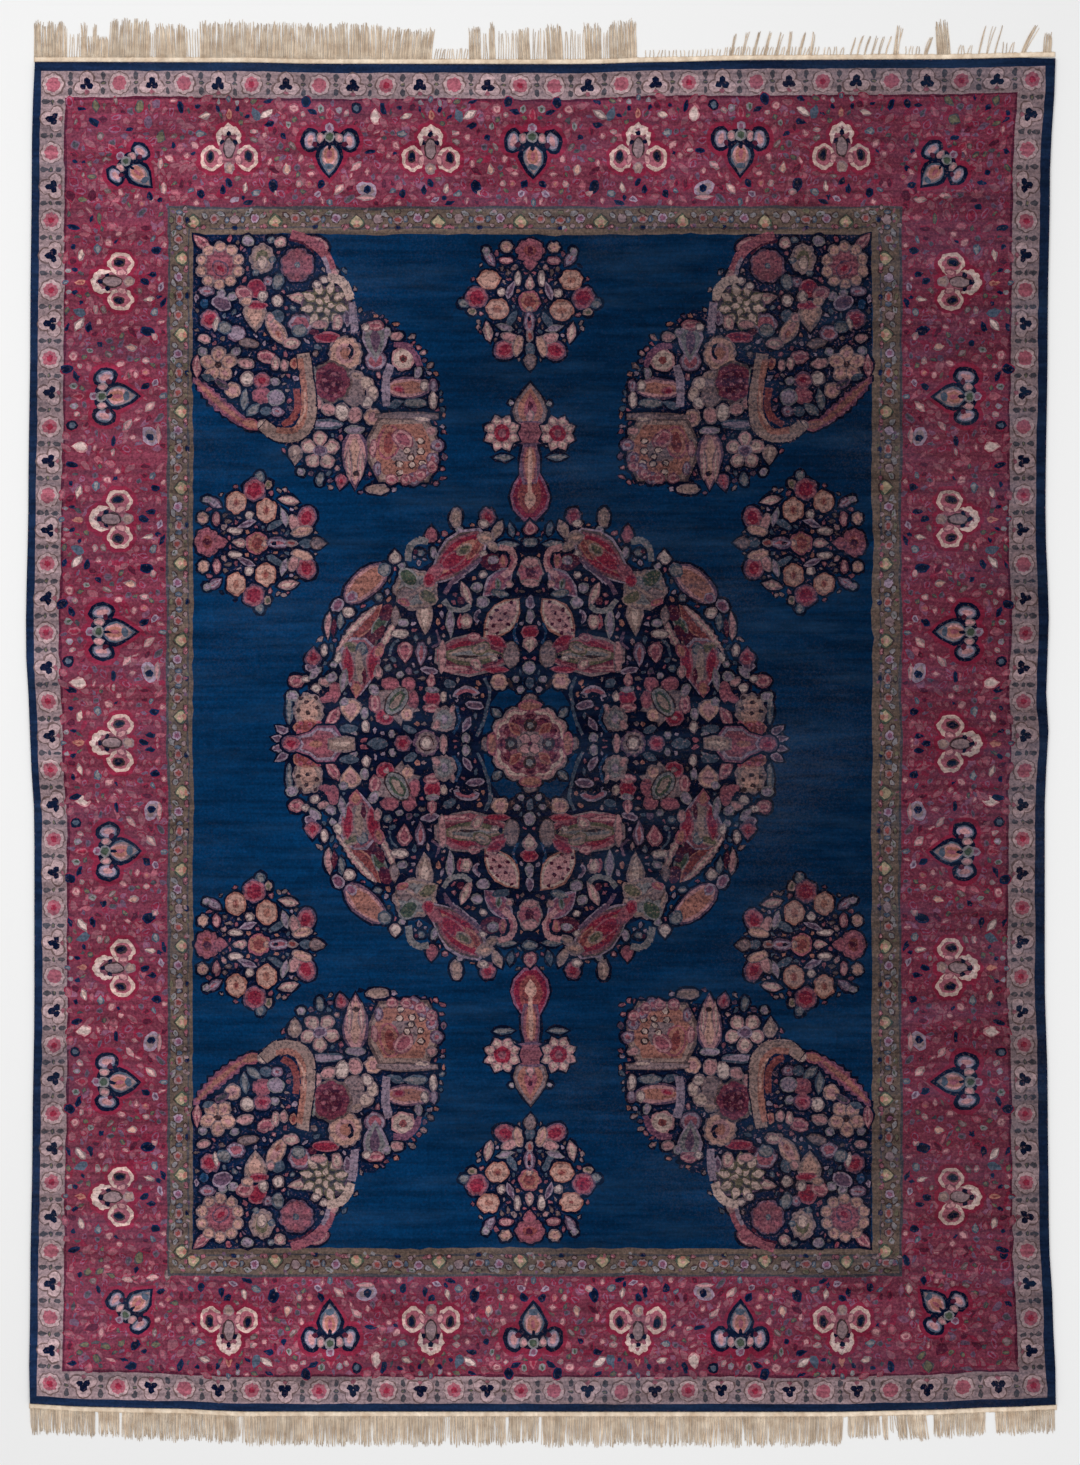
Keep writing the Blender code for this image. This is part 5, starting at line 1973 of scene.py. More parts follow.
    def _painted_sheen_darkening(self, place: Vector) -> float:
        """How bright the field's wool is drawn at a place: painted shade, darker from left to right.
        """
        z = (complex(place.x, place.y) - self.body.shift) / KNOT
        inside = (-line_of(Side.LEFT, 4) < z.real < line_of(Side.RIGHT, 4)
                  and -line_of(Side.FOOT, 4) < z.imag < line_of(Side.HEAD, 4))
        share = min(max((z.real - self.shade_from) / self.shade_over, 0.0), 1.0) * inside
        level = min(max((z.imag - self.shade_foot) / self.shade_over, 0.4), 1.0)
        return 1 - self.shade_by * level * share * share * (3 - 2 * share)

    def _area_of(self, place: Vector) -> str:
        """Which area of the pile a place in the frame belongs to."""
        z = (complex(place.x, place.y) - self.body.shift) / KNOT
        if z.real > line_of(Side.RIGHT, 3):
            return "right"
        if z.real < -line_of(Side.LEFT, 3):
            return "left"
        if z.imag > line_of(Side.HEAD, 3):
            return "head"
        if z.imag < -line_of(Side.FOOT, 3):
            return "foot"
        return "field_upper" if z.imag > FIELD_MIDDLE.imag else "field_lower"

    def _pile(self, name: str, points: list[Vector],
              faces: list[tuple[tuple[int, ...], Colour]],
              wool: bpy.types.Material) -> bpy.types.Object:
        """Make one area of pile, which carries its dyes as an attribute."""
        mesh = bmesh.new()
        shade = mesh.faces.layers.float_color.new("dye")
        made: dict[int, bmesh.types.BMVert] = {}
        for corners, tinted in faces:
            for i in corners:
                if i not in made:
                    x, y = points[i]
                    made[i] = mesh.verts.new((x, y, self.height(x, y)))
            mesh.faces.new([made[i] for i in corners])[shade] = tinted
        return piece_of(mesh, name, wool)

    def _foundation(self, rim: Outline, wool: bpy.types.Material) -> bpy.types.Object:
        """Make the cloth under the pile: its underside, its rounded edge and its hidden top.

        Args:
            rim: the outline at which the flat pile ends.
            wool: what the edge is wrapped with.

        Returns:
            The closed cloth.
        """
        mesh = bmesh.new()
        shade = mesh.faces.layers.float_color.new("dye")
        outer = self.rim(0.0)
        under_pile = self.pile_top - self.buried
        # Each ring: the share of the way out to the cloth's edge, and its height, or None for
        # the height of the pile.
        rings = [(0.0, under_pile), (0.0, None), (0.55, self.pile_top - 0.0005),
                 (0.92, self.pile_top - 0.0020), (1.0, self.pile_top - 0.0042), (0.92, 0.0016),
                 (0.72, 0.0)]
        rows = []
        for share, height in rings:
            row = []
            for z in rim:
                place = z + share * (nearest(outer, z) - z)
                rise = self.height(z.real, z.imag) if height is None else height
                row.append(mesh.verts.new((place.real, place.imag, rise)))
            rows.append(row)
        edge, back = linear(Dye.EDGE.value), linear(Dye.UMBER.value)
        for above, below in zip(rows, rows[1:]):
            for i, (a, b) in enumerate(zip(above, above[1:] + above[:1])):
                face = mesh.faces.new((b, a, below[i], below[(i + 1) % len(below)]))
                face[shade] = edge
        mesh.faces.new(rows[0])[shade] = edge
        mesh.faces.new(rows[-1][::-1])[shade] = back
        return piece_of(mesh, "woven_foundation", wool)


def top_patch(face: list[Vector], patches: list[int],
              outlines: list[list[tuple[float, float]]]) -> int:
    """Which patch shows at a face: the last one laid whose outline holds the face's middle.

    Args:
        face: the face's corners.
        patches: the patches that the face is listed under.
        outlines: the outlines of all patches.

    Returns:
        The number of the patch.
    """
    x, y = (sum(corner[axis] for corner in face) / len(face) for axis in range(2))
    for patch in sorted(patches, reverse=True):
        if holds(outlines[patch], x, y):
            return patch
    return min(patches)


def holds(outline: list[tuple[float, float]], x: float, y: float) -> bool:
    """Whether an outline holds a point."""
    inside = False
    before_x, before_y = outline[-1]
    for here_x, here_y in outline:
        if (here_y > y) != (before_y > y):
            share = (y - here_y) / (before_y - here_y)
            if x < here_x + share * (before_x - here_x):
                inside = not inside
        before_x, before_y = here_x, here_y
    return inside


def rim_of(faces: list[list[int]], points: list[Vector]) -> Outline:
    """The outline of a sheet of faces, counter-clockwise."""
    ahead: dict[int, int] = {}
    pairs = {(a, b) for face in faces for a, b in zip(face, face[1:] + face[:1])}
    for a, b in pairs:
        if (b, a) not in pairs:
            ahead[a] = b
    start = next(iter(ahead))
    rim = [start]
    while ahead[rim[-1]] != start:
        rim.append(ahead[rim[-1]])
    return [complex(points[i].x, points[i].y) for i in rim]


def piece_of(mesh: bmesh.types.BMesh, name: str,
             material: bpy.types.Material) -> bpy.types.Object:
    """Turn a mesh in the making into a piece with its material."""
    data = bpy.data.meshes.new(name)
    mesh.to_mesh(data)
    mesh.free()
    data.materials.append(material)
    return link(bpy.data.objects.new(name, data))


def vary(colour: Colour, lightness: float) -> Colour:
    """Make a colour lighter or darker, with its alpha kept."""
    return (*(channel * lightness for channel in colour[:3]), colour[3])


def turned_area(outline: Outline) -> float:
    """The area of an outline, negative where it runs clockwise."""
    pairs = zip(outline, outline[1:] + outline[:1])
    return sum(a.real * b.imag - b.real * a.imag for a, b in pairs) / 2


def is_simple(outline: Outline) -> bool:
    """Whether an outline doesn't cross itself."""
    count = len(outline)
    for i in range(count):
        a, b = outline[i], outline[(i + 1) % count]
        for j in range(i + 2, count - (i == 0)):
            c, d = outline[j], outline[(j + 1) % count]
            if crosses(a, b, c, d):
                return False
    return True


def crosses(a: complex, b: complex, c: complex, d: complex) -> bool:
    """Whether the line from a to b crosses the line from c to d."""
    def side(p: complex, q: complex, r: complex) -> float:
        """Which side of the line from p to q the point r lies on."""
        return ((q - p).conjugate() * (r - p)).imag
    return side(a, b, c) * side(a, b, d) < 0 and side(c, d, a) * side(c, d, b) < 0


def nearest(outline: Outline, z: complex) -> complex:
    """The point of an outline that lies nearest to z."""
    best, best_gap = z, math.inf
    for a, b in zip(outline, outline[1:] + outline[:1]):
        share = ((z - a) * (b - a).conjugate()).real / abs(b - a) ** 2
        foot = a + (b - a) * min(max(share, 0.0), 1.0)
        if abs(foot - z) < best_gap:
            best, best_gap = foot, abs(foot - z)
    return best


def link(made: bpy.types.Object) -> bpy.types.Object:
    """Put an object in the scene."""
    bpy.context.scene.collection.objects.link(made)
    return made


# ---------------------------------------------------------------------------------------------
# Finishes
# ---------------------------------------------------------------------------------------------

Setting = float | str | tuple[float, ...]


class Nodes:
    """One material's node tree."""

    def __init__(self, name: str) -> None:
        """Start a material with its Principled shader."""
        self.material = bpy.data.materials.new(name)
        self.material.use_nodes = True
        self.tree = self.material.node_tree
        self.shader = self.tree.nodes["Principled BSDF"]

    def add(self, kind: str, props: dict[str, str] | None = None,
            **inputs: "Setting | bpy.types.NodeSocket") -> bpy.types.Node:
        """Add one node with its settings and its links.

        Args:
            kind: the node's type, without its ShaderNode prefix.
            props: the node's own settings.
            **inputs: its sockets by name or by number, as in0, with a value or a link each.

        Returns:
            The node.
        """
        node = self.tree.nodes.new("ShaderNode" + kind)
        for name, value in (props or {}).items():
            setattr(node, name, value)
        for name, value in inputs.items():
            key = int(name[2:]) if name[:2] == "in" and name[2:].isdigit() else (
                name.replace("_", " "))
            socket = node.inputs[key]
            if isinstance(value, bpy.types.NodeSocket):
                self.tree.links.new(value, socket)
            else:
                socket.default_value = value
        return node

    def feed(self, socket: str, value: bpy.types.NodeSocket) -> None:
        """Link a value to the shader."""
        self.tree.links.new(value, self.shader.inputs[socket])


@dataclass(frozen=True)
class WoolPile:
    """Sheared hand-knotted wool: matt, soft at grazing angles, and uneven from knot to knot.

    Each knot takes the dye a little differently, rows differ where a new batch of wool begins,
    and the back of the light-coloured foundation shows through where the pile is worn. The pile's
    sheen is painted in as well: lighter at the left long side and at both ends, darker at the right.

    Attributes:
        roughness: wool scatters light almost evenly.
        sheen: the fibre tips catch light at grazing angles.
        knot: the spacing of the raised knots, drawn coarse so that it shows.
        streak: the length of a streak of one batch of wool along a row.
        abrash: how closely the broad bands of lighter and darker wool follow one another.
        knot_height: how far one knot stands above its neighbours.
        speck: the size of the specks that dark and pale knots make together.
        bloom: the strength of the bloom where the pile is rubbed most.
        bright_ends: painted light, how much lighter both ends are drawn.
        bright_left, dim_right: painted sheen, how light the pile is drawn at its left and right
            sides.
        specular: wool has hardly any gloss.
        row_height: the spacing of the rows that take the dye differently.
        foundation: the colour of the cotton that shows through worn pile.
        flecks, worn_patches: how many flecks, and how many worn patches, a metre holds.
        smoke: how closely the streaks of bloom follow one another along x, y and z.
        bloom_colour: the colour of rubbed fibre tips.
    """

    roughness: float = 0.93
    sheen: float = 0.005
    sheen_roughness: float = 0.55
    knot: float = 0.0034
    streak: float = 0.25
    abrash: tuple[float, float, float] = (1.8, 9.0, 1.0)
    knot_height: float = 0.0011
    speck: float = 0.0075
    bloom: float = 0.13
    bright_ends: float = 1.2
    bright_left: float = 1.30
    dim_right: float = 0.68
    specular: float = 0.02
    row_height: float = 0.016
    foundation: str = "#a39184"
    flecks: float = 190.0
    worn_patches: float = 2.1
    smoke: tuple[float, float, float] = (2.2, 11.0, 1.0)
    bloom_colour: str = "#426488"

    def build(self) -> bpy.types.Material:
        """Make the material."""
        nodes = Nodes("wool_pile_knotted")
        nodes.shader.inputs["Roughness"].default_value = self.roughness
        nodes.shader.inputs["Sheen Weight"].default_value = self.sheen
        nodes.shader.inputs["Sheen Roughness"].default_value = self.sheen_roughness
        nodes.shader.inputs["Specular IOR Level"].default_value = self.specular
        place = nodes.add("TexCoord").outputs["Object"]
        dye, mingled = (nodes.add("Attribute", {"attribute_name": "dye"}).outputs[name]
                        for name in ("Color", "Alpha"))
        lit = self._unevenness_and_painted_sheen(nodes, place)
        tinted = nodes.add("VectorMath", {"operation": "SCALE"}, in0=dye, Scale=lit)
        blended = self._mingle(nodes, place, tinted.outputs["Vector"], mingled)
        worn = self._wear(nodes, place, blended)
        nodes.feed("Base Color", self._bloom(nodes, place, worn))
        self._relief(nodes, place)
        return nodes.material

    def _unevenness_and_painted_sheen(self, nodes: Nodes, place: bpy.types.NodeSocket) -> bpy.types.NodeSocket:
        """How light each knot is: its own grain, its row's streak, and painted sheen and light:
        lighter at the left long side and at both ends, darker at the right.
        """
        grain = nodes.add("TexNoise", Vector=place, Scale=1 / self.knot / 2, Detail=1.5,
                          Roughness=0.7)
        grain = nodes.add("MapRange", Value=grain.outputs[0], From_Min=0.25, From_Max=0.75,
                          To_Min=0.72, To_Max=1.28)
        rows = nodes.add("Mapping", Vector=place, Scale=(1 / self.streak, 1 / self.row_height, 1))
        rows = nodes.add("TexNoise", Vector=rows.outputs[0], Scale=1.0, Detail=3, Roughness=0.6)
        rows = nodes.add("MapRange", Value=rows.outputs[0], From_Min=0.34, From_Max=0.66,
                         To_Min=0.72, To_Max=1.3)
        streaks = nodes.add("Mapping", Vector=place, Scale=self.abrash)
        cloud = nodes.add("TexNoise", Vector=streaks.outputs[0], Scale=1.0, Detail=3,
                          Roughness=0.55)
        cloud = nodes.add("MapRange", Value=cloud.outputs[0], From_Min=0.3, From_Max=0.7,
                          To_Min=0.8, To_Max=1.22)
        across, along = (nodes.add("SeparateXYZ", Vector=place).outputs[axis] for axis in "XY")
        # Painted sheen: the pile is drawn lighter at the left long side and darker at the right.
        painted_sheen = nodes.add("MapRange", Value=across, From_Min=-BODY_WIDTH / 2,
                         From_Max=BODY_WIDTH / 2, To_Min=self.bright_left, To_Max=self.dim_right)
        # Painted light: both ends are drawn lighter than the middle.
        reach = nodes.add("Math", {"operation": "ABSOLUTE"}, in0=along)
        ends = nodes.add("MapRange", Value=reach.outputs[0], From_Min=BODY_LENGTH * 0.3,
                         From_Max=BODY_LENGTH * 0.45, To_Min=1.0, To_Max=self.bright_ends)
        first = nodes.add("Math", {"operation": "MULTIPLY"}, in0=grain.outputs[0],
                          in1=rows.outputs[0])
        second = nodes.add("Math", {"operation": "MULTIPLY"}, in0=cloud.outputs[0],
                           in1=painted_sheen.outputs[0])
        third = nodes.add("Math", {"operation": "MULTIPLY"}, in0=second.outputs[0],
                          in1=ends.outputs[0])
        return nodes.add("Math", {"operation": "MULTIPLY"}, in0=first.outputs[0],
                         in1=third.outputs[0]).outputs[0]

    def _mingle(self, nodes: Nodes, place: bpy.types.NodeSocket, colour: bpy.types.NodeSocket,
                mingled: bpy.types.NodeSocket) -> bpy.types.NodeSocket:
        """Mingle dark and pale knots into the motifs, as their fine inner drawing does."""
        speck = nodes.add("TexNoise", Vector=place, Scale=1 / self.speck, Detail=2.5,
                          Roughness=0.75).outputs[0]
        mixed = colour
        for start, end, most, dye in ((0.47, 0.66, 0.8, Dye.NIGHT), (0.44, 0.28, 0.4, Dye.BLUSH)):
            share = nodes.add("MapRange", Value=speck, From_Min=start, From_Max=end, To_Min=0.0,
                              To_Max=most)
            amount = nodes.add("Math", {"operation": "MULTIPLY"}, in0=share.outputs[0],
                               in1=mingled)
            mixed = nodes.add("Mix", {"data_type": "RGBA"}, in0=amount.outputs[0], in6=mixed,
                              in7=linear(dye.value)).outputs[2]
        return mixed

    def _wear(self, nodes: Nodes, place: bpy.types.NodeSocket,
              colour: bpy.types.NodeSocket) -> bpy.types.NodeSocket:
        """Let flecks of the pale foundation show through the worn pile."""
        fleck = nodes.add("TexNoise", Vector=place, Scale=self.flecks, Detail=2,
                          Roughness=0.8)
        patch = nodes.add("TexNoise", Vector=place, Scale=self.worn_patches, Detail=2)
        both = nodes.add("Math", {"operation": "MULTIPLY"}, in0=fleck.outputs[0],
                         in1=patch.outputs[0])
        share = nodes.add("MapRange", Value=both.outputs[0], From_Min=0.27, From_Max=0.55,
                          To_Min=0.0, To_Max=0.05)
        mixed = nodes.add("Mix", {"data_type": "RGBA"}, in0=share.outputs[0], in6=colour,
                          in7=linear(self.foundation))
        return mixed.outputs[2]

    def _bloom(self, nodes: Nodes, place: bpy.types.NodeSocket,
               colour: bpy.types.NodeSocket) -> bpy.types.NodeSocket:
        """Lay the greyish bloom of rubbed fibre tips over the pile, in smoky streaks."""
        rubbed = nodes.add("Mapping", Vector=place, Scale=self.smoke)
        smoke = nodes.add("TexNoise", Vector=rubbed.outputs[0], Scale=1.0, Detail=6,
                          Roughness=0.68)
        share = nodes.add("MapRange", Value=smoke.outputs[0], From_Min=0.48, From_Max=0.74,
                          To_Min=0.0, To_Max=self.bloom)
        mixed = nodes.add("Mix", {"data_type": "RGBA"}, in0=share.outputs[0], in6=colour,
                          in7=linear(self.bloom_colour))
        return mixed.outputs[2]

    def _relief(self, nodes: Nodes, place: bpy.types.NodeSocket) -> None:
        """Raise each knot, in rows across the carpet."""
        rows = nodes.add("Mapping", Vector=place, Scale=(1.0, 1.25, 0.3))
        knots = nodes.add("TexVoronoi", {"feature": "F1"}, Vector=rows.outputs[0],
                          Scale=1 / self.knot, Randomness=0.45)
        bump = nodes.add("Bump", {"invert": True}, Height=knots.outputs["Distance"],
                         Strength=0.5, Distance=self.knot_height)
        nodes.feed("Normal", bump.outputs["Normal"])


@dataclass(frozen=True)
class CottonYarn:
    """Plied cotton warp, undyed and handled for years: matt, beige, greyer towards its tips.

    Attributes:
        light, dark: the yarn's colour where it is clean and where it is soiled.
        roughness: loose cotton is fully matt.
        sheen: its loose fibres catch a little light at grazing angles.
        specular: it has little gloss.
        ply: the spacing of the plies' turns; drawn coarse so that it shows.
    """

    light: str = "#f0dfca"
    dark: str = "#ccb49b"
    roughness: float = 0.95
    sheen: float = 0.1
    specular: float = 0.2
    ply: float = 0.004

    def build(self) -> bpy.types.Material:
        """Make the material."""
        nodes = Nodes("cotton_warp_yarn")
        nodes.shader.inputs["Roughness"].default_value = self.roughness
        nodes.shader.inputs["Sheen Weight"].default_value = self.sheen
        nodes.shader.inputs["Specular IOR Level"].default_value = self.specular
        place = nodes.add("TexCoord").outputs["Object"]
        soil = nodes.add("TexNoise", Vector=place, Scale=28.0, Detail=4, Roughness=0.65)
        share = nodes.add("MapRange", Value=soil.outputs[0], From_Min=0.32, From_Max=0.68)
        tint = nodes.add("Mix", {"data_type": "RGBA"}, in0=share.outputs[0],
                         in6=linear(self.dark), in7=linear(self.light))
        shade = nodes.add("Attribute", {"attribute_name": "shade"}).outputs["Fac"]
        dyed = nodes.add("VectorMath", {"operation": "SCALE"}, in0=tint.outputs[2], Scale=shade)
        nodes.feed("Base Color", dyed.outputs["Vector"])
        ply = nodes.add("TexNoise", Vector=place, Scale=1 / self.ply, Detail=2)
        bump = nodes.add("Bump", Height=ply.outputs[0], Strength=0.5, Distance=0.001)
        nodes.feed("Normal", bump.outputs["Normal"])
        return nodes.material


@dataclass(frozen=True)
class StudioPaper:
    """Seamless pale backdrop paper: matt and even."""

    colour: str = "#f3f3f3"
    roughness: float = 0.9

    def build(self) -> bpy.types.Material:
        """Make the material."""
        nodes = Nodes("backdrop_paper")
        nodes.shader.inputs["Base Color"].default_value = linear(self.colour)
        nodes.shader.inputs["Roughness"].default_value = self.roughness
        nodes.shader.inputs["Specular IOR Level"].default_value = 0.1
        return nodes.material


# ---------------------------------------------------------------------------------------------
# The webbing and the cut warps at each end
# ---------------------------------------------------------------------------------------------

@dataclass(frozen=True)
class Stretch:
    """One stretch of fringe, measured from the left corner along its end, in metres.

    Attributes:
        start, end: where it begins and ends.
        teeth: how many bunches share it.
        fill: the share of it that they cover.
        reach: how far they stand out past the webbing.
        lean: how far their tips shift to the right.
    """

    start: float
    end: float
    teeth: int
    fill: float
    reach: float
    lean: float


HEAD_FRINGE = (
    Stretch(0.000, 0.090, 3, 1.00, 0.104, 0.000), Stretch(0.092, 0.126, 5, 0.25, 0.066, 0.002),
    Stretch(0.126, 0.201, 4, 1.00, 0.060, 0.000), Stretch(0.127, 0.140, 1, 1.00, 0.102, 0.000),
    Stretch(0.158, 0.170, 1, 1.00, 0.098, 0.000), Stretch(0.201, 0.312, 4, 1.00, 0.114, 0.003),
    Stretch(0.312, 0.328, 3, 0.40, 0.080, 0.000), Stretch(0.328, 0.411, 3, 1.00, 0.100, -0.003),
    Stretch(0.411, 0.446, 5, 0.25, 0.080, 0.000), Stretch(0.446, 0.938, 16, 1.00, 0.104, 0.000),
    Stretch(0.938, 1.070, 5, 1.00, 0.088, 0.008), Stretch(1.074, 1.166, 14, 0.25, 0.030, 0.004),
    Stretch(1.170, 1.204, 1, 1.00, 0.096, -0.002), Stretch(1.206, 1.223, 3, 0.30, 0.070, 0.000),
    Stretch(1.225, 1.243, 1, 1.00, 0.102, -0.002), Stretch(1.246, 1.300, 8, 0.28, 0.080, 0.000),
    Stretch(1.302, 1.336, 2, 1.00, 0.096, -0.008), Stretch(1.338, 1.378, 7, 0.28, 0.086, 0.000),
    Stretch(1.380, 1.424, 2, 1.00, 0.100, -0.003), Stretch(1.426, 1.480, 8, 0.28, 0.084, 0.000),
    Stretch(1.482, 1.527, 2, 1.00, 0.100, -0.004), Stretch(1.529, 1.546, 3, 0.35, 0.080, 0.000),
    Stretch(1.548, 1.622, 3, 1.00, 0.108, -0.002), Stretch(1.640, 1.850, 20, 0.12, 0.020, 0.002),
    Stretch(1.851, 2.110, 34, 0.30, 0.024, 0.005), Stretch(1.860, 2.105, 8, 0.24, 0.070, 0.013),
    Stretch(2.120, 2.180, 7, 0.20, 0.022, 0.004), Stretch(2.186, 2.300, 6, 0.22, 0.056, 0.015),
    Stretch(2.305, 2.330, 1, 0.60, 0.088, 0.012), Stretch(2.340, 2.384, 5, 0.20, 0.024, 0.004),
    Stretch(2.385, 2.410, 1, 0.40, 0.052, 0.014), Stretch(2.428, 2.466, 1, 1.00, 0.102, -0.006),
    Stretch(2.480, 2.524, 5, 0.20, 0.026, 0.005), Stretch(2.530, 2.595, 3, 0.22, 0.080, 0.020),
    Stretch(2.600, 2.636, 4, 0.20, 0.030, 0.006), Stretch(2.640, 2.680, 1, 0.34, 0.086, 0.036),
    Stretch(2.712, 2.738, 1, 0.90, 0.058, 0.004),
)
FOOT_FRINGE = (
    Stretch(0.002, 0.178, 6, 1.00, 0.072, 0.000), Stretch(0.186, 0.243, 2, 1.00, 0.070, 0.002),
    Stretch(0.250, 0.562, 10, 1.00, 0.078, 0.000), Stretch(0.562, 0.574, 2, 0.40, 0.060, 0.000),
    Stretch(0.574, 1.115, 17, 1.00, 0.086, 0.000), Stretch(1.116, 1.130, 3, 0.30, 0.070, 0.000),
    Stretch(1.131, 1.282, 5, 1.00, 0.085, 0.001), Stretch(1.289, 1.372, 3, 1.00, 0.080, -0.002),
    Stretch(1.378, 2.190, 24, 1.00, 0.086, 0.000), Stretch(2.202, 2.286, 3, 1.00, 0.064, 0.000),
    Stretch(2.294, 2.310, 1, 1.00, 0.076, 0.004), Stretch(2.312, 2.330, 3, 0.25, 0.050, 0.004),
    Stretch(2.332, 2.412, 3, 1.00, 0.072, 0.007), Stretch(2.432, 2.572, 5, 1.00, 0.066, 0.000),
    Stretch(2.598, 2.758, 5, 1.00, 0.066, 0.000),
)


@dataclass(frozen=True)
class EndFringe:
    """One end's flat-woven webbing and its cut warps, yarn by yarn.

    Attributes:
        body: the outline that it continues.
        end: -1 for the foot, 1 for the head.
        stretches: the stretches of fringe that are left.
        webbing: width of the webbing.
        thickness: its thickness.
        yarn: diameter of one yarn.
        spacing: spacing of the yarns at their feet.
        sides: sides of one yarn's section.
    """

    body: Body
    end: int
    stretches: tuple[Stretch, ...]
    webbing: float = 0.0153
    thickness: float = 0.0026
    yarn: float = 0.0021
    spacing: float = 0.0021
    sides: int = 4

    @property
    def name(self) -> str:
        """The end's own name."""
        return "head" if self.end > 0 else "foot"

    def edge(self, x: float, out: float) -> complex:
        """A point so far out from the knotted edge, at x before the shift."""
        return complex(x, self.body.end_y(self.end, x) + self.end * out) + self.body.shift

    def build_webbing(self, finish: bpy.types.Material) -> bpy.types.Object:
        """Make the webbing: a ribbed strip that follows the knotted edge."""
        inset, pitch = 0.0004, 0.006
        left = self.body.corner(-1, self.end).real + inset
        right = self.body.corner(1, self.end).real - inset
        count = int((right - left) / pitch)
        rng = random.Random(50 + self.end)
        mesh = bmesh.new()
        shade = mesh.verts.layers.float.new("shade")
        across = (inset, 0.003, 0.006, 0.009, 0.012, self.webbing)
        rows = []
        for i in range(count + 1):
            x = left + (right - left) * i / count
            bright = rng.uniform(1.0, 1.2)
            top, low = [], []
            for k, out in enumerate(across):
                place = self.edge(x, out + (rng.uniform(-0.002, 0.001) if k == 5 else 0))
                rise = self.thickness * (1 if k % 2 else 0.86) * (0.5 if k in (0, 5) else 1)
                vert = mesh.verts.new((place.real, place.imag, rise))
                vert[shade] = bright * rng.uniform(0.9, 1.08)
                top.append(vert)
                vert = mesh.verts.new((place.real, place.imag, 0.0))
                # Painted shade: the underside, and each side towards the floor, are drawn at 0.8 of
                # the top's lightness.
                vert[shade] = bright * 0.8
                low.append(vert)
            rows.append(top + low[::-1])
        skin_rows(mesh, rows)
        made = piece_of(mesh, f"webbing_{self.name}", finish)
        made.data.shade_smooth()
        return made

    def build_yarns(self, finish: bpy.types.Material) -> bpy.types.Object:
        """Make the cut warps of every bunch, and a few stray ones between."""
        rng = random.Random(90 + self.end)
        mesh = bmesh.new()
        shade = mesh.verts.layers.float.new("shade")
        left = self.body.corner(-1, self.end).real
        for row in self.stretches:
            pitch = (row.end - row.start) / row.teeth
            for i in range(row.teeth):
                middle = left + row.start + pitch * (i + 0.5)
                self._bunch(mesh, shade, middle, pitch * row.fill / 2, row, rng)
        made = piece_of(mesh, f"fringe_yarns_{self.name}", finish)
        made.data.shade_smooth()
        return made

    def _bunch(self, mesh: bmesh.types.BMesh, shade: bmesh.types.BMLayerItem, middle: float,
               half: float, row: Stretch, rng: random.Random) -> None:
        """Lay one bunch of yarns.

        Args:
            mesh: where they are added.
            shade: the layer that holds how light each is.
            middle: the bunch's middle before the shift.
            half: half its width at its foot.
            row: the stretch that it belongs to.
            rng: its chance.
        """
        count = max(1, round(2 * half / self.spacing))
        lean = row.lean + rng.gauss(0, 0.0015)
        reach = row.reach * rng.uniform(0.92, 1.0)
        bunch_shade = rng.uniform(0.92, 1.06)
        for k in range(count):
            side = 2 * (k + 0.5) / count - 1
            foot = middle + half * side * 0.98 + rng.uniform(-0.0004, 0.0004)
            tip = middle + lean + half * side * rng.uniform(0.8, 1.1) + rng.gauss(0, 0.002)
            length = reach * rng.uniform(0.84, 1.0) * (1 - 0.1 * side * side)
            route = self._route(foot, tip, length, rng)
            strand(mesh, shade, route, self.yarn / 2 * rng.uniform(0.85, 1.1), self.sides,
                   bunch_shade * rng.uniform(0.82, 1.1))

    def _route(self, foot: float, tip: float, length: float, rng: random.Random) -> list[Vector]:
        """The way one yarn lies on the floor, from its foot to its tip."""
        steps = 5
        wave, phase = rng.uniform(0.0004, 0.0016), rng.uniform(0, math.tau)
        lift = rng.uniform(0, 0.0016)
        made = []
        for i in range(steps + 1):
            share = i / steps
            x = foot + (tip - foot) * share ** 1.2 + wave * math.sin(phase + 5 * share) * share
            place = self.edge(foot, self.webbing - 0.003 + (length + 0.003) * share)
            z = self.yarn / 2 + lift * math.sin(math.pi * share) + 0.0006 * (1 - share)
            made.append(Vector((place.real + x - foot, place.imag, z)))
        return made


def skin_rows(mesh: bmesh.types.BMesh, rows: list[list[bmesh.types.BMVert]]) -> None:
    """Skin rows of points, each a closed loop, into a tube with both ends closed."""
    for here, there in zip(rows, rows[1:]):
        count = len(here)
        for i in range(count):
            k = (i + 1) % count
            mesh.faces.new((here[i], here[k], there[k], there[i]))
    mesh.faces.new(rows[0][::-1])
    mesh.faces.new(rows[-1])


def strand(mesh: bmesh.types.BMesh, shade: bmesh.types.BMLayerItem, route: list[Vector],
           radius: float, sides: int, bright: float) -> None:
    """Add one yarn as a thin tube along a route.

    Args:
        mesh: where it is added.
        shade: the layer that holds how light it is.
        route: the points that it follows.
        radius: its radius.
        sides: sides of its section.
        bright: how light it is.
    """
    rows = []
    for i, place in enumerate(route):
        ahead = (route[min(i + 1, len(route) - 1)] - route[max(i - 1, 0)]).normalized()
        across = ahead.cross(Vector((0, 0, 1))).normalized()
        above = across.cross(ahead)
        thin = radius * (0.55 if i == len(route) - 1 else 1.0)
        row = []
        for k in range(sides):
            angle = math.tau * k / sides
            vert = mesh.verts.new(place + across * thin * math.cos(angle)
                                  + above * thin * math.sin(angle))
            vert[shade] = bright
            row.append(vert)
        rows.append(row)
    skin_rows(mesh, rows)


# ---------------------------------------------------------------------------------------------
# The whole carpet and its studio
# ---------------------------------------------------------------------------------------------

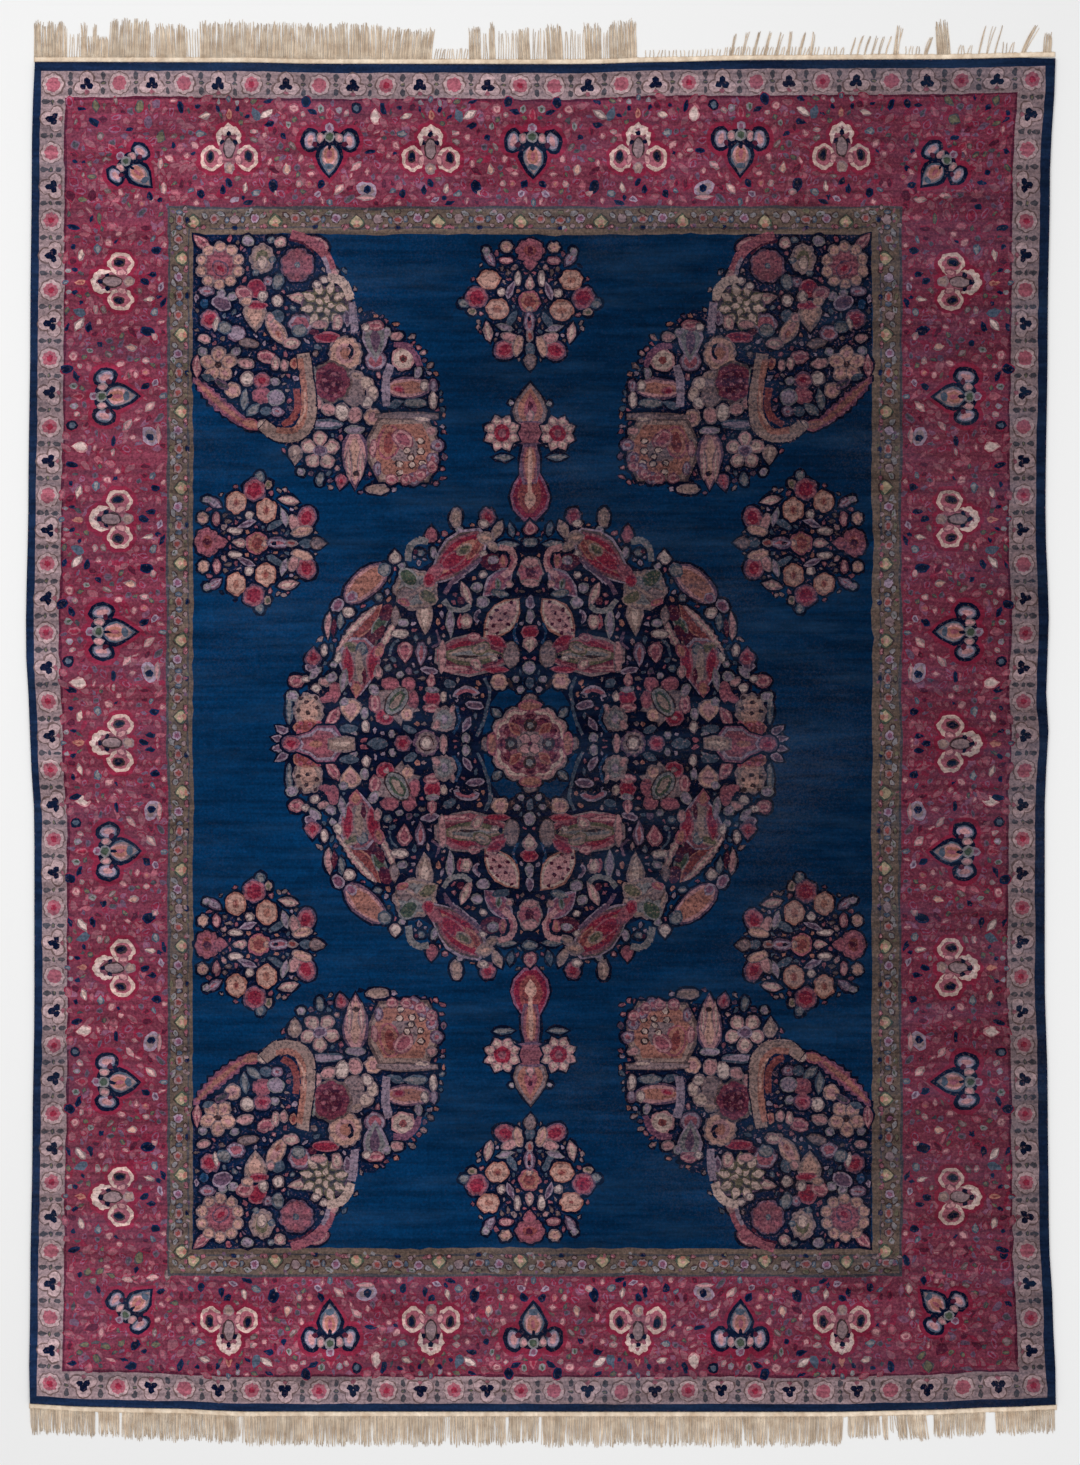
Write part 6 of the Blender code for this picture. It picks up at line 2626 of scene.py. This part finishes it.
@dataclass
class Carpet:
    """The carpet: its charted pile, and the webbing and fringe at both ends."""

    body: Body = field(default_factory=body_in_frame)

    def chart(self) -> Chart:
        """Draw the whole chart, from the ground up."""
        chart = Chart()
        chart.lay(rectangle(1), Dye.STRIPE)
        chart.lay(rectangle(2), Dye.WINE)
        chart.lay(rectangle(2, 2.4), Dye.MADDER)
        MainBorder().draw(chart)
        InnerGuard().draw(chart)
        OuterGuard().draw(chart)
        Field().draw(chart)
        return chart

    def build(self) -> None:
        """Make every piece and hand it to the frame."""
        chart = self.chart()
        LOG.info("chart: %d patches", len(chart.patches))
        cloth, *piles = Loom(self.body).weave(chart, WoolPile().build())
        for made in (cloth, *piles):
            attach(made, "root")
            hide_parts("carpet")
            report(made)
        yarn = CottonYarn().build()
        for end, stretches in ((1, HEAD_FRINGE), (-1, FOOT_FRINGE)):
            fringe = EndFringe(self.body, end, stretches)
            for made in (fringe.build_webbing(yarn), fringe.build_yarns(yarn)):
                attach(made, "root")
                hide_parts(f"fringe_{fringe.name}")
                report(made)


def report(piece: bpy.types.Object) -> None:
    """Log a finished piece and its size."""
    triangles = sum(len(face.vertices) - 2 for face in piece.data.polygons)
    LOG.info("%s: %d triangles, %.3f x %.3f x %.4f m", piece.name, triangles, *piece.dimensions)


@dataclass(frozen=True)
class Studio:
    """A pale floor, soft light from all round and a camera straight above the carpet.

    Attributes:
        seen_long: the length of floor that the camera sees along the carpet.
        lens, sensor: the camera's lens and the height of its sensor, in millimetres.
        aim: how far the camera's aim lies from the middle of the carpet's body, in knots.
    """

    seen_long: float = IMAGE_HEIGHT * KNOT
    lens: float = 85.0
    sensor: float = 36.0
    aim: complex = complex(1.0, 3.25)

    def build(self, body: Body) -> None:
        """Set up the floor, the lights, the world and the camera."""
        self._floor()
        self._lights()
        self._camera(body)
        bpy.context.scene.view_settings.view_transform = "Standard"

    def _floor(self) -> None:
        """Lay the backdrop paper under the carpet."""
        mesh = bmesh.new()
        bmesh.ops.create_grid(mesh, x_segments=1, y_segments=1, size=14.0)
        data = bpy.data.meshes.new("floor_paper")
        mesh.to_mesh(data)
        mesh.free()
        data.materials.append(StudioPaper().build())
        floor = link(bpy.data.objects.new("floor_paper", data))
        floor.location.z = -0.0005

    def _lights(self) -> None:
        """Hang two large soft lamps and fill the room with even light."""
        for name, place, power in (("key_lamp", (-2.6, 2.0, 6.2), 160.0),
                                   ("fill_lamp", (2.6, -1.6, 6.5), 110.0)):
            lamp = bpy.data.lights.new(name, "AREA")
            lamp.shape = "DISK"
            lamp.size = 4.5
            lamp.energy = power
            made = link(bpy.data.objects.new(name, lamp))
            made.location = place
            made.rotation_euler = (-Vector(place)).to_track_quat("-Z", "Y").to_euler()
        world = bpy.data.worlds.new("soft_room")
        world.use_nodes = True
        sky = world.node_tree.nodes["Background"]
        sky.inputs["Color"].default_value = (1.0, 1.0, 1.0, 1.0)
        sky.inputs["Strength"].default_value = 0.56
        bpy.context.scene.world = world

    def _camera(self, body: Body) -> None:
        """Hang the camera straight above the carpet, looking down."""
        data = bpy.data.cameras.new("overhead_camera")
        data.lens = self.lens
        data.sensor_fit = "VERTICAL"
        data.sensor_height = self.sensor
        camera = link(bpy.data.objects.new("overhead_camera", data))
        aim = self.aim * KNOT + body.shift
        height = self.seen_long * self.lens / self.sensor + BODY_THICKNESS
        camera.location = (aim.real, aim.imag, height)
        bpy.context.scene.camera = camera


def main() -> None:
    """Build the carpet and its studio."""
    logging.basicConfig(level=logging.INFO, format="%(name)s: %(message)s")
    carpet = Carpet()
    carpet.build()
    Studio().build(carpet.body)


if __name__ == "__main__":
    main()
